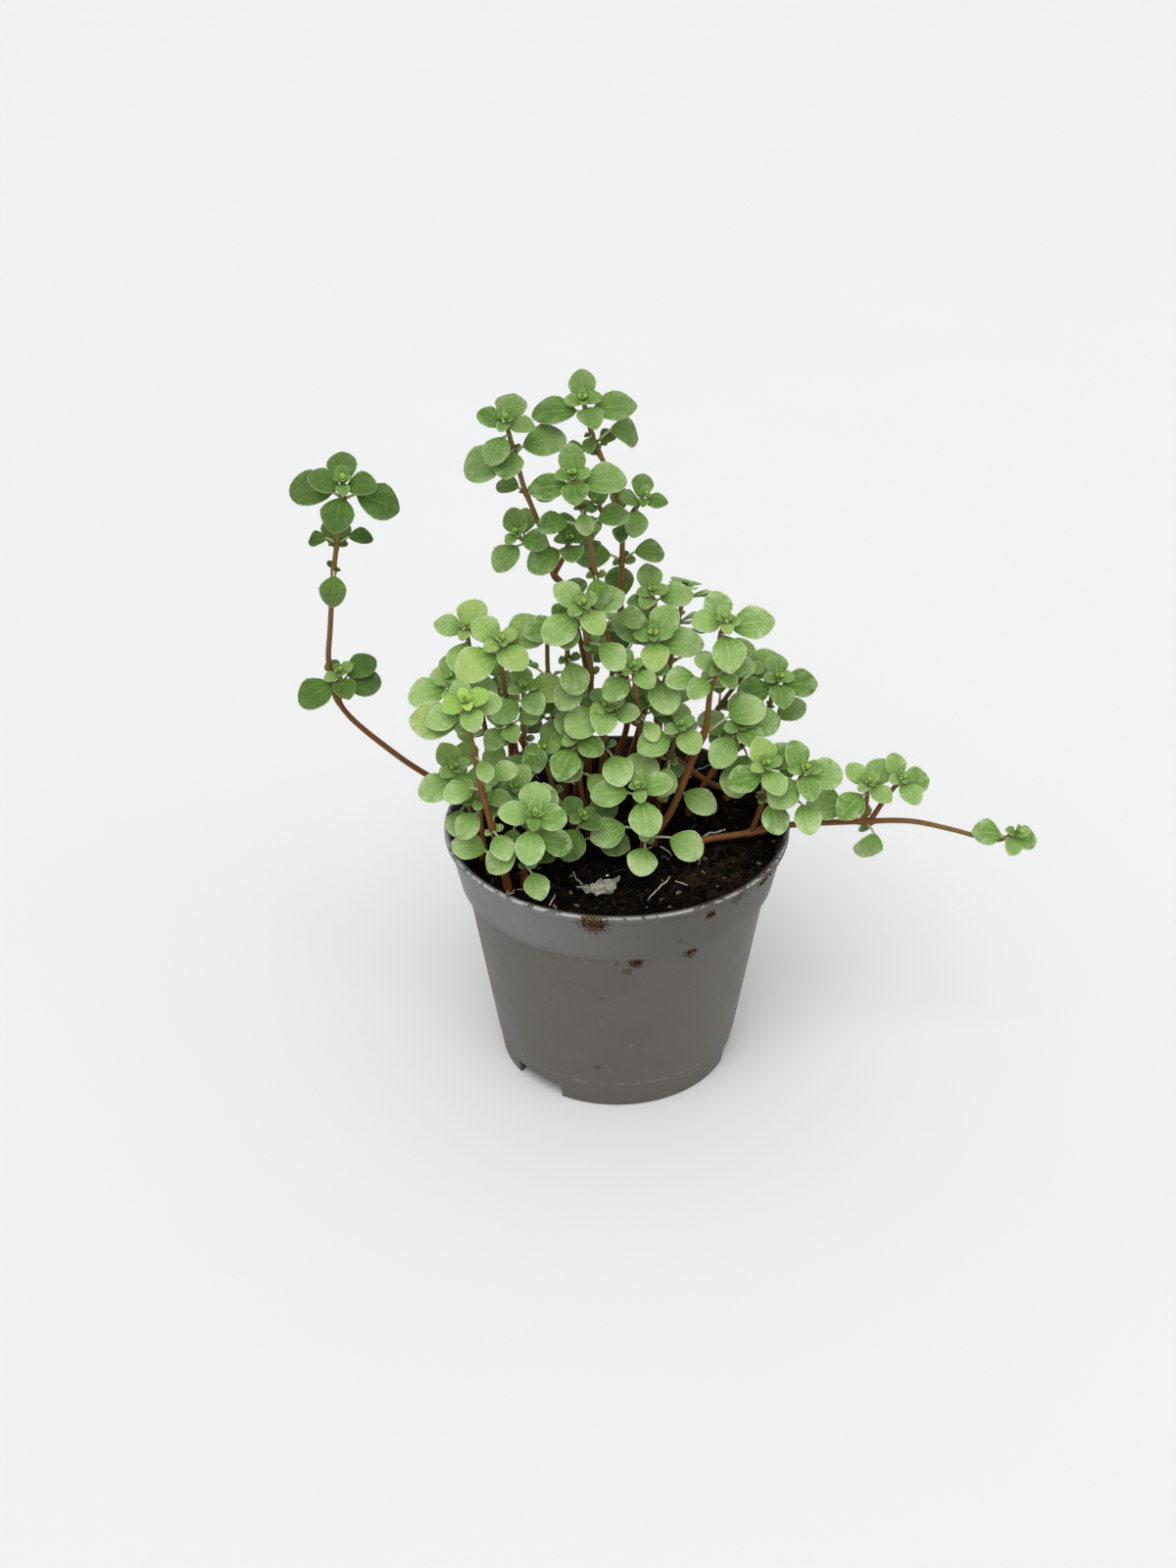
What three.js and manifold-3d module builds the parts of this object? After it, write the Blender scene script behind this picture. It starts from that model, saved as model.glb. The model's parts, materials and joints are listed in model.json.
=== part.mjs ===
// A small-leaved silver pilea in a 7 cm nursery pot.
// Millimetres, +Z up. The front of the pot faces -Y. The origin is the bottom centre of the whole plant's box.
// The stems are listed with their paths, read from the plant; the leaves on them are placed by one seeded rule.
import * as THREE from "three";
import { mergeVertices } from "three/addons/utils/BufferGeometryUtils.js";
import Module from "manifold-3d";

const wasm = await Module();
wasm.setup();

// Pot
const POT_HEIGHT = 54.5;
const RIM_RADIUS = 35;
const RIM_INNER_RADIUS = 33.7;
const LIP_HEIGHT = 1.3;
const BAND_TOP_RADIUS = 34.3;
const BAND_FOOT_RADIUS = 32.2;
const BAND_FOOT_Z = 42.7;
const BODY_TOP_RADIUS = 31;
const BASE_RADIUS = 24.75;
const WALL = 1.2;
const FLOOR_UNDERSIDE_Z = 3.9;
const FLOOR_TOP_Z = 5.1;
const NOTCH_WIDTH = 12;
const NOTCH_HEIGHT = 3.7;
const NOTCH_AZIMUTHS = [108, 228, 348];
const DRAIN_HOLE_RADIUS = 2.5;
const DRAIN_HOLE_CIRCLE = 13;
const DRAIN_HOLE_COUNT = 6;
const POT_SIDES = 36;

// Soil
const SOIL_LEVEL = 51.2;
const SOIL_GAP = 0.3;
const CLUMP_CENTRE = [24, 13];
const CLUMP_HEIGHT = 9;
const CLUMP_SPREAD = 8.5;
const CROWN_CENTRE = [0, 4];
const CROWN_HEIGHT = 1.6;
const CROWN_SPREAD = 14;
const SOIL_SIDES = 24;
const HOLE_GAP = 0.3;

// Stems and leaves
const BURIED = 6;
const STEM_TIP_RADIUS = 0.6;
const STEM_SIDES = 4;
const TUBE_STEP = 8;
const STEPS_PER_POINT = 6;
const BLADE_THICKNESS = 0.6;
const BLADE_WIDTH_SHARE = 0.84;
const PETIOLE_HALF_WIDTH = 0.24;
const ROOT_DEPTH = 0.15;
const LEAF_GAP = 1.15;
const LIGHT = unit([0.04, -0.72, 0.72]);
const BACK_LIGHT = unit([0.05, 0.4, 0.92]);
const SEED = 20731;

// Each stem: where it enters the soil, the points it passes through, its radius, the length of its leaves,
// the azimuth of its tip rosette, and its leaf pairs as [distance back from the tip, size share, turn, sides].
// A single leaf is [distance back from the tip, azimuth, length, lift, petiole length].
const STEMS = [
  {
    name: "trailing_left",
    root: [-24, 8],
    path: [[-29, 8, 55.6], [-33.2, 8.5, 56.6], [-38, 8, 60], [-45, 6, 67], [-54, 4, 78], [-56, 3, 88],
      [-55, 2, 97], [-53, 2, 111], [-50.5, 1, 122], [-50, 0, 127]],
    radius: 0.9,
    leaf: 7.8,
    turn: 95,
    pairs: [[13, 0.62], [18.5, 0.88]],
    singles: [[3.4, -14, 8.4, -16, 3], [3.4, 178, 8, 0, 2.4], [46, 5, 7, 4, 3]],
    shoots: [{ back: 47.5, path: [[-54, 3, 83], [-54, 2, 87]], leaf: 7.4, turn: 35, pairs: [] }],
  },
  {
    name: "tall_right",
    root: [22.5, 5],
    path: [[18.5, 5.5, 60], [10, 8, 66], [5, 9, 72], [2, 10, 82], [1, 10, 93], [1, 9, 104], [1, 8, 115],
      [-1, 7, 125], [-4, 6, 132], [-6, 5, 140.2]],
    radius: 0.9,
    leaf: 8,
    turn: 5,
    pairs: [[6.5, 0.45], [10.5, 0.56], [25.5, 0.6], [34, 0.9], [45, 0.8], [56, 0.75]],
    singles: [[8.5, 5, 6.8, -40, 4]],
    shoots: [
      { back: 27, path: [[3, 7.5, 118], [5, 7, 121]], leaf: 5.6, turn: 80, pairs: [] },
      { back: 26, path: [[-1.5, 6.5, 117], [-3.5, 6, 120]], leaf: 5.2, turn: 60, pairs: [] },
    ],
  },
  {
    name: "tall_centre",
    root: [-3, 13],
    path: [[-1, 9, 61], [2, 6, 72], [2, 4, 81], [0, 2, 90], [-3, 0, 100], [-4, 0, 108], [-5, -1, 115],
      [-6, -2, 121], [-8, -3, 129]],
    radius: 0.95,
    leaf: 7.8,
    turn: 5,
    pairs: [[6.5, 0.6], [11, 0.9], [21, 0.75], [32, 0.8], [44, 0.9]],
    shoots: [{ back: 56, path: [[4.5, 1, 76], [6, 0, 81]], leaf: 6.4, turn: 30, pairs: [] }],
  },
  {
    name: "tall_left",
    root: [-8, 15],
    path: [[-5, 10, 71], [-6, 8, 85], [-8, 6, 96], [-10, 5, 104], [-12, 4, 107], [-13, 3, 113],
      [-15, 3, 119], [-17, 2, 125], [-18, 2, 129], [-20, 1, 138]],
    radius: 0.85,
    leaf: 6.8,
    turn: 70,
    pairs: [[14.5, 0.7], [42, 0.85]],
    singles: [[6.5, 10, 8, 8, 2.2], [6.5, 210, 8.4, -8, 2], [5.5, 265, 7, 6, 1.6]],
    shoots: [
      { back: 33.5, path: [[-15, 3, 112], [-18.5, 1.5, 116]], leaf: 6.8, turn: 50, pairs: [] },
      { back: 32.5, path: [[-10, 3, 111], [-9, 1, 115]], leaf: 6.8, turn: 10, pairs: [] },
    ],
  },
  {
    name: "thick_right",
    root: [7.4, -5.4],
    path: [[11, -5, 60], [15, -4, 71], [17.2, -3.3, 77], [18, -3, 86], [19, -4, 95], [20, -5, 101]],
    radius: 1.1,
    leaf: 7.6,
    turn: 98,
    pairs: [[14.5, 0.9]],
    singles: [[2.6, 8, 8.4, 10, 2.2], [25.5, 15, 7.6, 12, 6]],
    shoots: [{ back: 13, path: [[18.5, -6, 90], [19, -7, 92]], leaf: 5.6, turn: 40, pairs: [] }],
  },
  {
    name: "front_left",
    root: [-21.7, -19.4],
    path: [[-24, -19, 64], [-26, -18, 73], [-27, -18, 81], [-28, -19, 88], [-28, -20, 92]],
    radius: 1,
    leaf: 6.4,
    turn: 20,
    pairs: [[12.5, 0.8], [20, 0.85], [28.5, 0.85]],
    singles: [[6, 178, 9, 6, 2.4], [36, 165, 7, 0, 4], [38, 15, 6.8, 14, 8]],
  },
  {
    name: "front_left_short",
    root: [-18.3, -18.3],
    path: [[-18, -19.5, 60], [-17, -21, 65], [-16, -22, 69]],
    radius: 0.85,
    leaf: 7.6,
    turn: 85,
    pairs: [[8, 0.95], [13.5, 0.9]],
  },
  {
    name: "left_big_rosette",
    root: [-20.3, 3],
    path: [[-21, 1, 65], [-21, 0, 72], [-21, -1, 78], [-22, -3, 89], [-22, -5, 97]],
    radius: 0.9,
    leaf: 8.6,
    turn: 35,
    pairs: [[13, 0.8], [25, 0.8]],
  },
  {
    name: "left_upright",
    root: [-25.5, 4.5],
    path: [[-26, 4, 62], [-26, 4, 71], [-27, 4, 79], [-28, 4, 87], [-29, 3, 96]],
    radius: 0.85,
    leaf: 7.2,
    turn: 80,
    pairs: [[14, 0.9]],
  },
  {
    name: "left_low",
    root: [-27.5, -1],
    path: [[-28, -3, 70], [-30, -3, 80], [-32, -3, 88]],
    radius: 0.8,
    leaf: 7.4,
    turn: 15,
    pairs: [[12, 0.9]],
  },
  {
    name: "left_edge",
    root: [-27, -9],
    path: [[-29, -11, 65], [-30, -12, 70], [-31, -13, 74]],
    radius: 0.8,
    leaf: 7.4,
    turn: 30,
    pairs: [[9, 0.9]],
  },
  {
    name: "left_edge_low",
    root: [-25.5, -13.5],
    path: [[-26.5, -15, 63], [-26, -16, 69]],
    radius: 0.75,
    leaf: 6.4,
    turn: 60,
    pairs: [],
  },
  {
    name: "left_inner",
    root: [-16, -2],
    path: [[-18, -3, 72], [-18, -4, 80], [-18, -5, 87]],
    radius: 0.85,
    leaf: 7.2,
    turn: 20,
    pairs: [[12, 0.85]],
    shoots: [{ back: 14, path: [[-20, -6, 79], [-21.5, -8, 82]], leaf: 5.6, turn: 50, pairs: [] }],
  },
  {
    name: "middle_back",
    root: [-11, 9],
    path: [[-11, 7, 63], [-11, 4, 73], [-10, 1, 82]],
    radius: 0.85,
    leaf: 7.6,
    turn: 10,
    pairs: [[11, 0.9]],
  },
  {
    name: "middle_left",
    root: [-9, -1.2],
    path: [[-12, -3, 61], [-13.5, -5, 69], [-14.5, -6, 74]],
    radius: 0.85,
    leaf: 8.2,
    turn: 5,
    pairs: [[10, 0.85]],
  },
  {
    name: "middle_front",
    root: [-5.5, -3],
    path: [[-7, -4, 63], [-8, -5, 72], [-8, -6, 77]],
    radius: 0.85,
    leaf: 7.6,
    turn: 40,
    pairs: [[9, 0.9]],
  },
  {
    name: "middle_low",
    root: [-8.2, -7],
    path: [[-8, -8, 56], [-7, -9.5, 61]],
    radius: 0.8,
    leaf: 6.8,
    turn: 30,
    pairs: [],
    singles: [[7, 200, 7.6, 5, 5], [7.5, 340, 7, 5, 5]],
  },
  {
    name: "left_front_low",
    root: [-15.5, -8],
    path: [[-19, -10, 61], [-20, -12, 69]],
    radius: 0.8,
    leaf: 7,
    turn: 10,
    pairs: [[8.5, 0.9]],
  },
  {
    name: "centre_pale",
    root: [-1, 4],
    path: [[-3, 2, 62], [-2.5, -2, 74], [-2, -5, 83]],
    radius: 0.85,
    leaf: 8.4,
    turn: 25,
    pairs: [[11, 0.9]],
  },
  {
    name: "centre_low",
    root: [5.2, -7.6],
    path: [[6.2, -8.6, 58], [5, -9.6, 64], [4, -10.5, 68]],
    radius: 0.8,
    leaf: 8.2,
    turn: 100,
    pairs: [],
    singles: [[2.4, 185, 7.4, 4, 3], [12, 200, 7.4, -4, 6], [14, 230, 7, 0, 4], [13.5, 330, 7.2, 2, 5.5]],
  },
  {
    name: "right_centre",
    root: [8.5, 3.5],
    path: [[9, 1.5, 62], [11, -2, 72], [12, -4, 78]],
    radius: 0.85,
    leaf: 7.8,
    turn: 30,
    pairs: [[9.5, 0.9]],
    singles: [[20, 290, 7.4, 5, 6]],
  },
  {
    name: "centre_high",
    root: [7.5, 9],
    path: [[8.5, 6.5, 64], [8, 4, 77], [7.5, 2.5, 87], [7, 1, 95]],
    radius: 0.85,
    leaf: 9.2,
    turn: 2,
    pairs: [[9, 0.8], [20, 0.75], [30, 0.7]],
  },
  {
    name: "centre_back_high",
    root: [1.5, 18],
    path: [[5, 15, 68], [7, 11, 86], [7, 8, 101]],
    radius: 0.85,
    leaf: 7.4,
    turn: 10,
    pairs: [[11, 0.95]],
  },
  {
    name: "centre_small",
    root: [4, 4.5],
    path: [[5, 1, 68], [4, -3, 82], [3, -4.5, 91]],
    radius: 0.75,
    leaf: 6,
    turn: 40,
    pairs: [[12, 0.9]],
  },
  {
    name: "centre_bright",
    root: [-5.5, 8],
    path: [[-5.5, 4, 71], [-5, 0, 87], [-6, -4.5, 98], [-6.5, -6.5, 105]],
    radius: 0.85,
    leaf: 8,
    turn: 42,
    pairs: [[9, 0.95], [19, 0.95]],
  },
  {
    name: "centre_left_high",
    root: [-11, 4],
    path: [[-9.5, 2, 70], [-9.5, -1, 87], [-9.5, -2.5, 97], [-9.5, -3.5, 101]],
    radius: 0.85,
    leaf: 7.6,
    turn: 10,
    pairs: [[9, 0.95], [20, 0.9]],
  },
  {
    name: "right_high",
    root: [20.5, 10],
    path: [[26, 10, 66], [30, 8, 73], [31, 7, 78], [32, 6, 83]],
    radius: 0.75,
    leaf: 7.4,
    turn: 5,
    pairs: [[7, 0.6]],
    singles: [[14, 25, 6.6, 10, 5], [15, 200, 7.2, 0, 4], [19, 250, 7.2, 0, 4]],
  },
  {
    name: "right_middle",
    root: [15, 3],
    path: [[17, 2, 60], [21, 0.5, 69], [24, -2, 77]],
    radius: 0.85,
    leaf: 8.2,
    turn: 20,
    pairs: [[9.5, 0.9]],
  },
  {
    name: "right_back",
    root: [13, 10],
    path: [[15.5, 10.5, 64], [21, 10, 75], [26, 8, 84]],
    radius: 0.8,
    leaf: 8,
    turn: 5,
    pairs: [[11, 0.9]],
  },
  {
    name: "runner_right",
    root: [16.5, -6.6],
    path: [[25.5, -6, 54.6], [34.4, -6, 56.6], [48.5, -5.5, 57], [58.5, -5, 56.7], [67, -5, 54.7],
      [76, -5, 52], [80, -5, 53.6]],
    radius: 1,
    leaf: 6.4,
    turn: 2,
    pairs: [],
    singles: [[32, 175, 7.8, 8, 5.5], [31.5, 265, 7.6, -62, 3]],
    shoots: [
      { back: 54.5, path: [[28.2, -8, 62], [29.2, -9, 68], [28.7, -10, 72.5]], leaf: 7.8, turn: 20, pairs: [[8.5, 0.85]] },
      { back: 52.5, path: [[31.5, -8, 62.5], [34.8, -9, 67.5], [36, -10, 71.5]], leaf: 8.2, turn: 8, pairs: [[7, 0.85]] },
      { back: 32, path: [[49.4, -6, 62], [49.2, -7, 66.5]], leaf: 6.8, turn: 45, pairs: [] },
      { back: 30.5, path: [[53, -6, 62.5], [55.5, -7, 67.5]], leaf: 6.8, turn: 15, pairs: [] },
    ],
  },
  {
    name: "back_left",
    root: [-19, 13],
    path: [[-21, 16, 63], [-24, 20, 73], [-25, 22, 81]],
    radius: 0.85,
    leaf: 7.6,
    turn: 20,
    pairs: [[10, 0.9], [19, 0.85]],
  },
  {
    name: "back_left_inner",
    root: [-12, 20],
    path: [[-13, 23, 64], [-14, 26, 75], [-14, 28, 84]],
    radius: 0.85,
    leaf: 7.6,
    turn: 60,
    pairs: [[11, 0.9], [21, 0.85]],
  },
  {
    name: "back_centre",
    root: [-2, 24],
    path: [[-2, 27, 64], [0, 30, 75], [1, 31, 84]],
    radius: 0.85,
    leaf: 7.6,
    turn: 30,
    pairs: [[11, 0.9], [21, 0.85]],
  },
  {
    name: "back_right",
    root: [9, 21],
    path: [[10, 24, 68], [12, 27, 78], [13, 28, 86]],
    radius: 0.85,
    leaf: 7.6,
    turn: 75,
    pairs: [[10, 0.9], [19, 0.85]],
  },
  {
    name: "back_centre_high",
    root: [8, 15],
    path: [[9, 18, 70], [12, 20, 84], [14, 21, 96]],
    radius: 0.85,
    leaf: 7.6,
    turn: 0,
    pairs: [[11, 0.9], [22, 0.9]],
  },
];

// Rosette at a tip: [distance back, size share, lift, petiole length] for its lower and its upper pair.
const ROSETTE = [[2.6, 1, 2, 1.7], [0.9, 0.8, 16, 0.8]];

// A leaf that has no room is tried smaller, lifted or turned, in this order, and left out after the last.
const TRIAL_SIZES = [1, 0.86, 0.72, 0.58, 0.46];
const TRIAL_LIFTS = [0, 14, -14, 28, -28];
const TRIAL_TURNS = [0, 13, -13, 26, -26, 38, -38];

// ---- Vectors as [x, y, z] ----

function add(a, b) {
  return [a[0] + b[0], a[1] + b[1], a[2] + b[2]];
}

function subtract(a, b) {
  return [a[0] - b[0], a[1] - b[1], a[2] - b[2]];
}

function scale(a, k) {
  return [a[0] * k, a[1] * k, a[2] * k];
}

function dot(a, b) {
  return a[0] * b[0] + a[1] * b[1] + a[2] * b[2];
}

function cross(a, b) {
  return [a[1] * b[2] - a[2] * b[1], a[2] * b[0] - a[0] * b[2], a[0] * b[1] - a[1] * b[0]];
}

function size(a) {
  return Math.sqrt(dot(a, a));
}

function unit(a) {
  return scale(a, 1 / size(a));
}

function radians(degrees) {
  return (degrees * Math.PI) / 180;
}

function seededDraw(seed) {
  let state = seed;
  return () => {
    state = (state * 16807) % 2147483647;
    return (state - 1) / 2147483646;
  };
}

// ---- Soil surface ----

function bump(x, y, centre, height, spread) {
  const squared = (x - centre[0]) ** 2 + (y - centre[1]) ** 2;
  return height * Math.exp(-squared / (2 * spread ** 2));
}

function soilHeight(x, y) {
  const clump = bump(x, y, CLUMP_CENTRE, CLUMP_HEIGHT, CLUMP_SPREAD);
  const crown = bump(x, y, CROWN_CENTRE, CROWN_HEIGHT, CROWN_SPREAD);
  return SOIL_LEVEL + clump + crown;
}

// ---- Stem lines: smooth curves through their points, measured back from the tip ----

function smoothPoints(points) {
  const result = [];
  for (let i = 0; i < points.length - 1; i++) {
    const b = points[i];
    const c = points[i + 1];
    const a = i > 0 ? points[i - 1] : subtract(scale(b, 2), c);
    const d = i + 2 < points.length ? points[i + 2] : subtract(scale(c, 2), b);
    for (let step = 0; step < STEPS_PER_POINT; step++) {
      const t = step / STEPS_PER_POINT;
      const point = [0, 1, 2].map((axis) => {
        const start = 0.5 * (c[axis] - a[axis]);
        const end = 0.5 * (d[axis] - b[axis]);
        const square = -3 * b[axis] + 3 * c[axis] - 2 * start - end;
        const cube = 2 * b[axis] - 2 * c[axis] + start + end;
        return b[axis] + start * t + square * t * t + cube * t * t * t;
      });
      result.push(point);
    }
  }
  result.push(points[points.length - 1]);
  return result;
}

function stemLine(points, rootRadius) {
  const smooth = smoothPoints(points);
  const along = [0];
  for (let i = 1; i < smooth.length; i++) {
    along.push(along[i - 1] + size(subtract(smooth[i], smooth[i - 1])));
  }
  const length = along[along.length - 1];
  const radiusAt = (distance) => rootRadius + ((STEM_TIP_RADIUS - rootRadius) * distance) / length;
  const at = (back) => {
    const distance = Math.max(0, length - back);
    let i = 0;
    while (i < smooth.length - 2 && along[i + 1] < distance) i++;
    const step = subtract(smooth[i + 1], smooth[i]);
    const share = (distance - along[i]) / (along[i + 1] - along[i]);
    return { point: add(smooth[i], scale(step, share)), axis: unit(step), radius: radiusAt(distance) };
  };
  return { smooth, along, length, radiusAt, at };
}

// ---- Leaf rule ----

// The plane that leaves spread in: stems face the light at the front, and those behind the crown the back.
function leafFrame(axis, weight, node) {
  const light = node.startsWith("back_") ? BACK_LIGHT : LIGHT;
  const face = unit(add(scale(axis, weight), light));
  const right = unit(subtract([1, 0, 0], scale(face, face[0])));
  const fore = cross(face, right);
  return { face, right, fore };
}

// A leaf as a flat disc with a petiole: enough to test whether it has room.
function makeLeaf(node, root, axis, frame, azimuth, length, petiole, lift) {
  const a = radians(azimuth);
  const l = radians(lift);
  const out = add(scale(frame.right, Math.cos(a)), scale(frame.fore, Math.sin(a)));
  const along = add(scale(out, Math.cos(l)), scale(frame.face, Math.sin(l)));
  const normal = subtract(scale(frame.face, Math.cos(l)), scale(out, Math.sin(l)));
  const across = cross(normal, along);
  const neck = add(root, scale(unit(add(scale(out, 0.8), scale(axis, 0.6))), petiole));
  const width = length * BLADE_WIDTH_SHARE;
  const centre = add(neck, scale(along, length * 0.5));
  const probes = [centre];
  const ring = (count, offset, share) => {
    for (let i = 0; i < count; i++) {
      const t = (2 * Math.PI * (i + offset)) / count;
      const step = add(scale(along, share * length * Math.cos(t)), scale(across, share * width * Math.sin(t)));
      probes.push(add(centre, step));
    }
  };
  ring(12, 0, 0.5);
  ring(4, 0.5, 0.25);
  const stalk = [1, 2, 3, 4].map((k) => add(root, scale(subtract(neck, root), k / 4)));
  return { node, root, neck, along, across, normal, length, width, centre, petiole, probes, stalk };
}

function inLeaf(point, leaf, gap, margin) {
  const r = subtract(point, leaf.centre);
  if (Math.abs(dot(r, leaf.normal)) >= gap) return false;
  const x = dot(r, leaf.along) / (0.5 * leaf.length + margin);
  const y = dot(r, leaf.across) / (0.5 * leaf.width + margin);
  return x * x + y * y < 1;
}

function clearOfPot(leaf) {
  for (const [x, y, z] of leaf.probes) {
    const r = Math.hypot(x, y);
    if (r < 33.2 && z < soilHeight(x, y) + 1) return false;
    if (r > 32 && r < 36.8 && z < POT_HEIGHT + 1.4) return false;
    if (r < 36.8 && z < SOIL_LEVEL) return false;
  }
  return true;
}

function clearOfLeaf(leaf, other) {
  const reach = 0.5 * leaf.length + 0.5 * other.length + LEAF_GAP;
  if (size(subtract(leaf.centre, other.centre)) <= reach) {
    if (leaf.probes.some((p) => inLeaf(p, other, LEAF_GAP, 0.35))) return false;
    if (other.probes.some((p) => inLeaf(p, leaf, LEAF_GAP, 0.35))) return false;
  }
  if (size(subtract(leaf.root, other.root)) > 0.01) {
    if (other.stalk.some((p) => inLeaf(p, leaf, 0.95, 0.5))) return false;
    if (leaf.stalk.slice(1).some((p) => inLeaf(p, other, 0.95, 0.5))) return false;
  }
  if (leaf.node !== other.node) {
    for (const p of leaf.stalk) {
      if (other.stalk.some((q) => size(subtract(p, q)) < 1.3)) return false;
    }
  }
  return true;
}

function clearOfStems(leaf, posts) {
  for (const post of posts) {
    const own = post.node === leaf.node;
    const distance = size(subtract(post.point, leaf.centre));
    const atRoot = own && size(subtract(post.point, leaf.root)) < 3;
    if (distance <= 0.5 * leaf.length + post.radius + 2 && !atRoot) {
      if (inLeaf(post.point, leaf, post.radius + 0.75, post.radius + 0.45)) return false;
    }
    if (!own && leaf.stalk.some((p) => size(subtract(p, post.point)) < post.radius + 0.95)) return false;
  }
  return true;
}

function growPlant() {
  const draw = seededDraw(SEED);
  const branches = [];
  const posts = [];
  const leaves = [];

  const addBranch = (spec, node, points, radius) => {
    const line = stemLine(points, radius);
    branches.push({ spec, node, line });
    for (let i = 0; i + 1 < line.smooth.length; i++) {
      const step = subtract(line.smooth[i + 1], line.smooth[i]);
      const parts = Math.floor(size(step) / 1.3) + 1;
      for (let k = 0; k < parts; k++) {
        const point = add(line.smooth[i], scale(step, k / parts));
        posts.push({ node, point, radius: line.radiusAt(line.along[i]) });
      }
    }
    return line;
  };

  for (const stem of STEMS) {
    const [x, y] = stem.root;
    const z = soilHeight(x, y);
    const buried = [[x, y, z - BURIED], [x, y, z - 2], [x, y, z + 1]];
    const line = addBranch(stem, stem.name, [...buried, ...stem.path], stem.radius);
    for (const shoot of stem.shoots ?? []) {
      const start = line.at(shoot.back);
      addBranch(shoot, stem.name, [start.point, ...shoot.path], Math.min(0.75, start.radius));
    }
  }

  const tryLeaf = (node, root, axis, frame, azimuth, length, petiole, lift) => {
    for (const share of TRIAL_SIZES) {
      for (const tilt of TRIAL_LIFTS) {
        for (const turn of TRIAL_TURNS) {
          const leaf = makeLeaf(node, root, axis, frame, azimuth + turn, length * share, petiole, lift + tilt);
          if (!clearOfPot(leaf)) continue;
          if (!leaves.every((other) => clearOfLeaf(leaf, other))) continue;
          if (!clearOfStems(leaf, posts)) continue;
          leaves.push(leaf);
          return;
        }
      }
    }
  };

  for (const { spec, node, line } of branches) {
    for (const [back, azimuth, length, lift, petiole] of spec.singles ?? []) {
      const { point, axis } = line.at(back);
      tryLeaf(node, point, axis, leafFrame(axis, 0.15, node), azimuth, length, petiole, lift);
    }
  }

  for (const { spec, node, line } of branches) {
    const tipFrame = leafFrame(line.at(0).axis, 0.35, node);
    ROSETTE.forEach(([back, share, lift, petiole], pair) => {
      const { point, axis } = line.at(back);
      for (const side of [0, 180]) {
        const length = spec.leaf * share * (0.88 + 0.16 * draw());
        const stalk = petiole * (0.8 + 0.5 * draw());
        tryLeaf(node, point, axis, tipFrame, spec.turn + 90 * pair + side, length, stalk, lift);
      }
    });
    spec.pairs.forEach(([back, share], count) => {
      const { point, axis } = line.at(back);
      const frame = leafFrame(axis, 0.15, node);
      const azimuth = spec.turn + 90 * (count + 1) + 20 * draw() - 10;
      for (const side of [0, 180]) {
        const length = spec.leaf * share * (0.78 + 0.25 * draw());
        const petiole = spec.leaf * share * (0.35 + 0.3 * draw());
        const lift = 40 * draw() - 24;
        tryLeaf(node, point, axis, frame, azimuth + side, length, petiole, lift);
      }
    });
  }
  return { branches, leaves };
}

// ---- Solids ----

function solidOf(geometry) {
  const bare = geometry.clone();
  bare.deleteAttribute("normal");
  bare.deleteAttribute("uv");
  const merged = mergeVertices(bare, 1e-4);
  const mesh = new wasm.Mesh({
    numProp: 3,
    vertProperties: new Float32Array(merged.attributes.position.array),
    triVerts: new Uint32Array(merged.index.array),
  });
  return new wasm.Manifold(mesh);
}

function meshOf(name, solid, material) {
  const { vertProperties, triVerts } = solid.getMesh();
  const geometry = new THREE.BufferGeometry();
  geometry.setAttribute("position", new THREE.BufferAttribute(new Float32Array(vertProperties), 3));
  geometry.setIndex(new THREE.BufferAttribute(new Uint32Array(triVerts), 1));
  geometry.computeVertexNormals();
  const mesh = new THREE.Mesh(geometry, material);
  mesh.name = name;
  return mesh;
}

function turned(profile, sides) {
  const points = profile.map(([radius, z]) => new THREE.Vector2(radius, z));
  return new THREE.LatheGeometry(points, sides).rotateX(Math.PI / 2);
}

// The points of a stem's line that its tube is built on: the buried ones, then one every few millimetres.
function tubeStops(line) {
  const last = line.smooth.length - 1;
  const stops = [];
  for (let i = 0; i < last; i++) {
    const buried = i <= 2 * STEPS_PER_POINT && i % STEPS_PER_POINT === 0;
    const spaced = stops.length === 0 || line.along[i] - line.along[stops[stops.length - 1]] >= TUBE_STEP;
    const beforeTip = line.length - line.along[i] > TUBE_STEP / 2;
    if ((buried || spaced) && beforeTip) stops.push(i);
  }
  stops.push(last);
  return stops;
}

// A stem: a cylinder whose rings are moved onto the line, narrowing towards the tip.
function tube(line) {
  const stops = tubeStops(line);
  const rings = stops.length - 1;
  const geometry = new THREE.CylinderGeometry(1, 1, rings, STEM_SIDES, rings);
  let side = [1, 0, 0];
  const frames = stops.map((stop) => {
    const before = line.smooth[Math.max(0, stop - 1)];
    const after = line.smooth[Math.min(line.smooth.length - 1, stop + 1)];
    const axis = unit(subtract(after, before));
    side = unit(subtract(side, scale(axis, dot(side, axis))));
    return { side, up: cross(side, axis) };
  });
  const position = geometry.attributes.position;
  for (let i = 0; i < position.count; i++) {
    const ring = Math.round(position.getY(i) + rings / 2);
    const radius = line.radiusAt(line.along[stops[ring]]);
    const sideways = scale(frames[ring].side, radius * position.getX(i));
    const upwards = scale(frames[ring].up, radius * position.getZ(i));
    const point = add(line.smooth[stops[ring]], add(sideways, upwards));
    position.setXYZ(i, point[0], point[1], point[2]);
  }
  return geometry;
}

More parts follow.
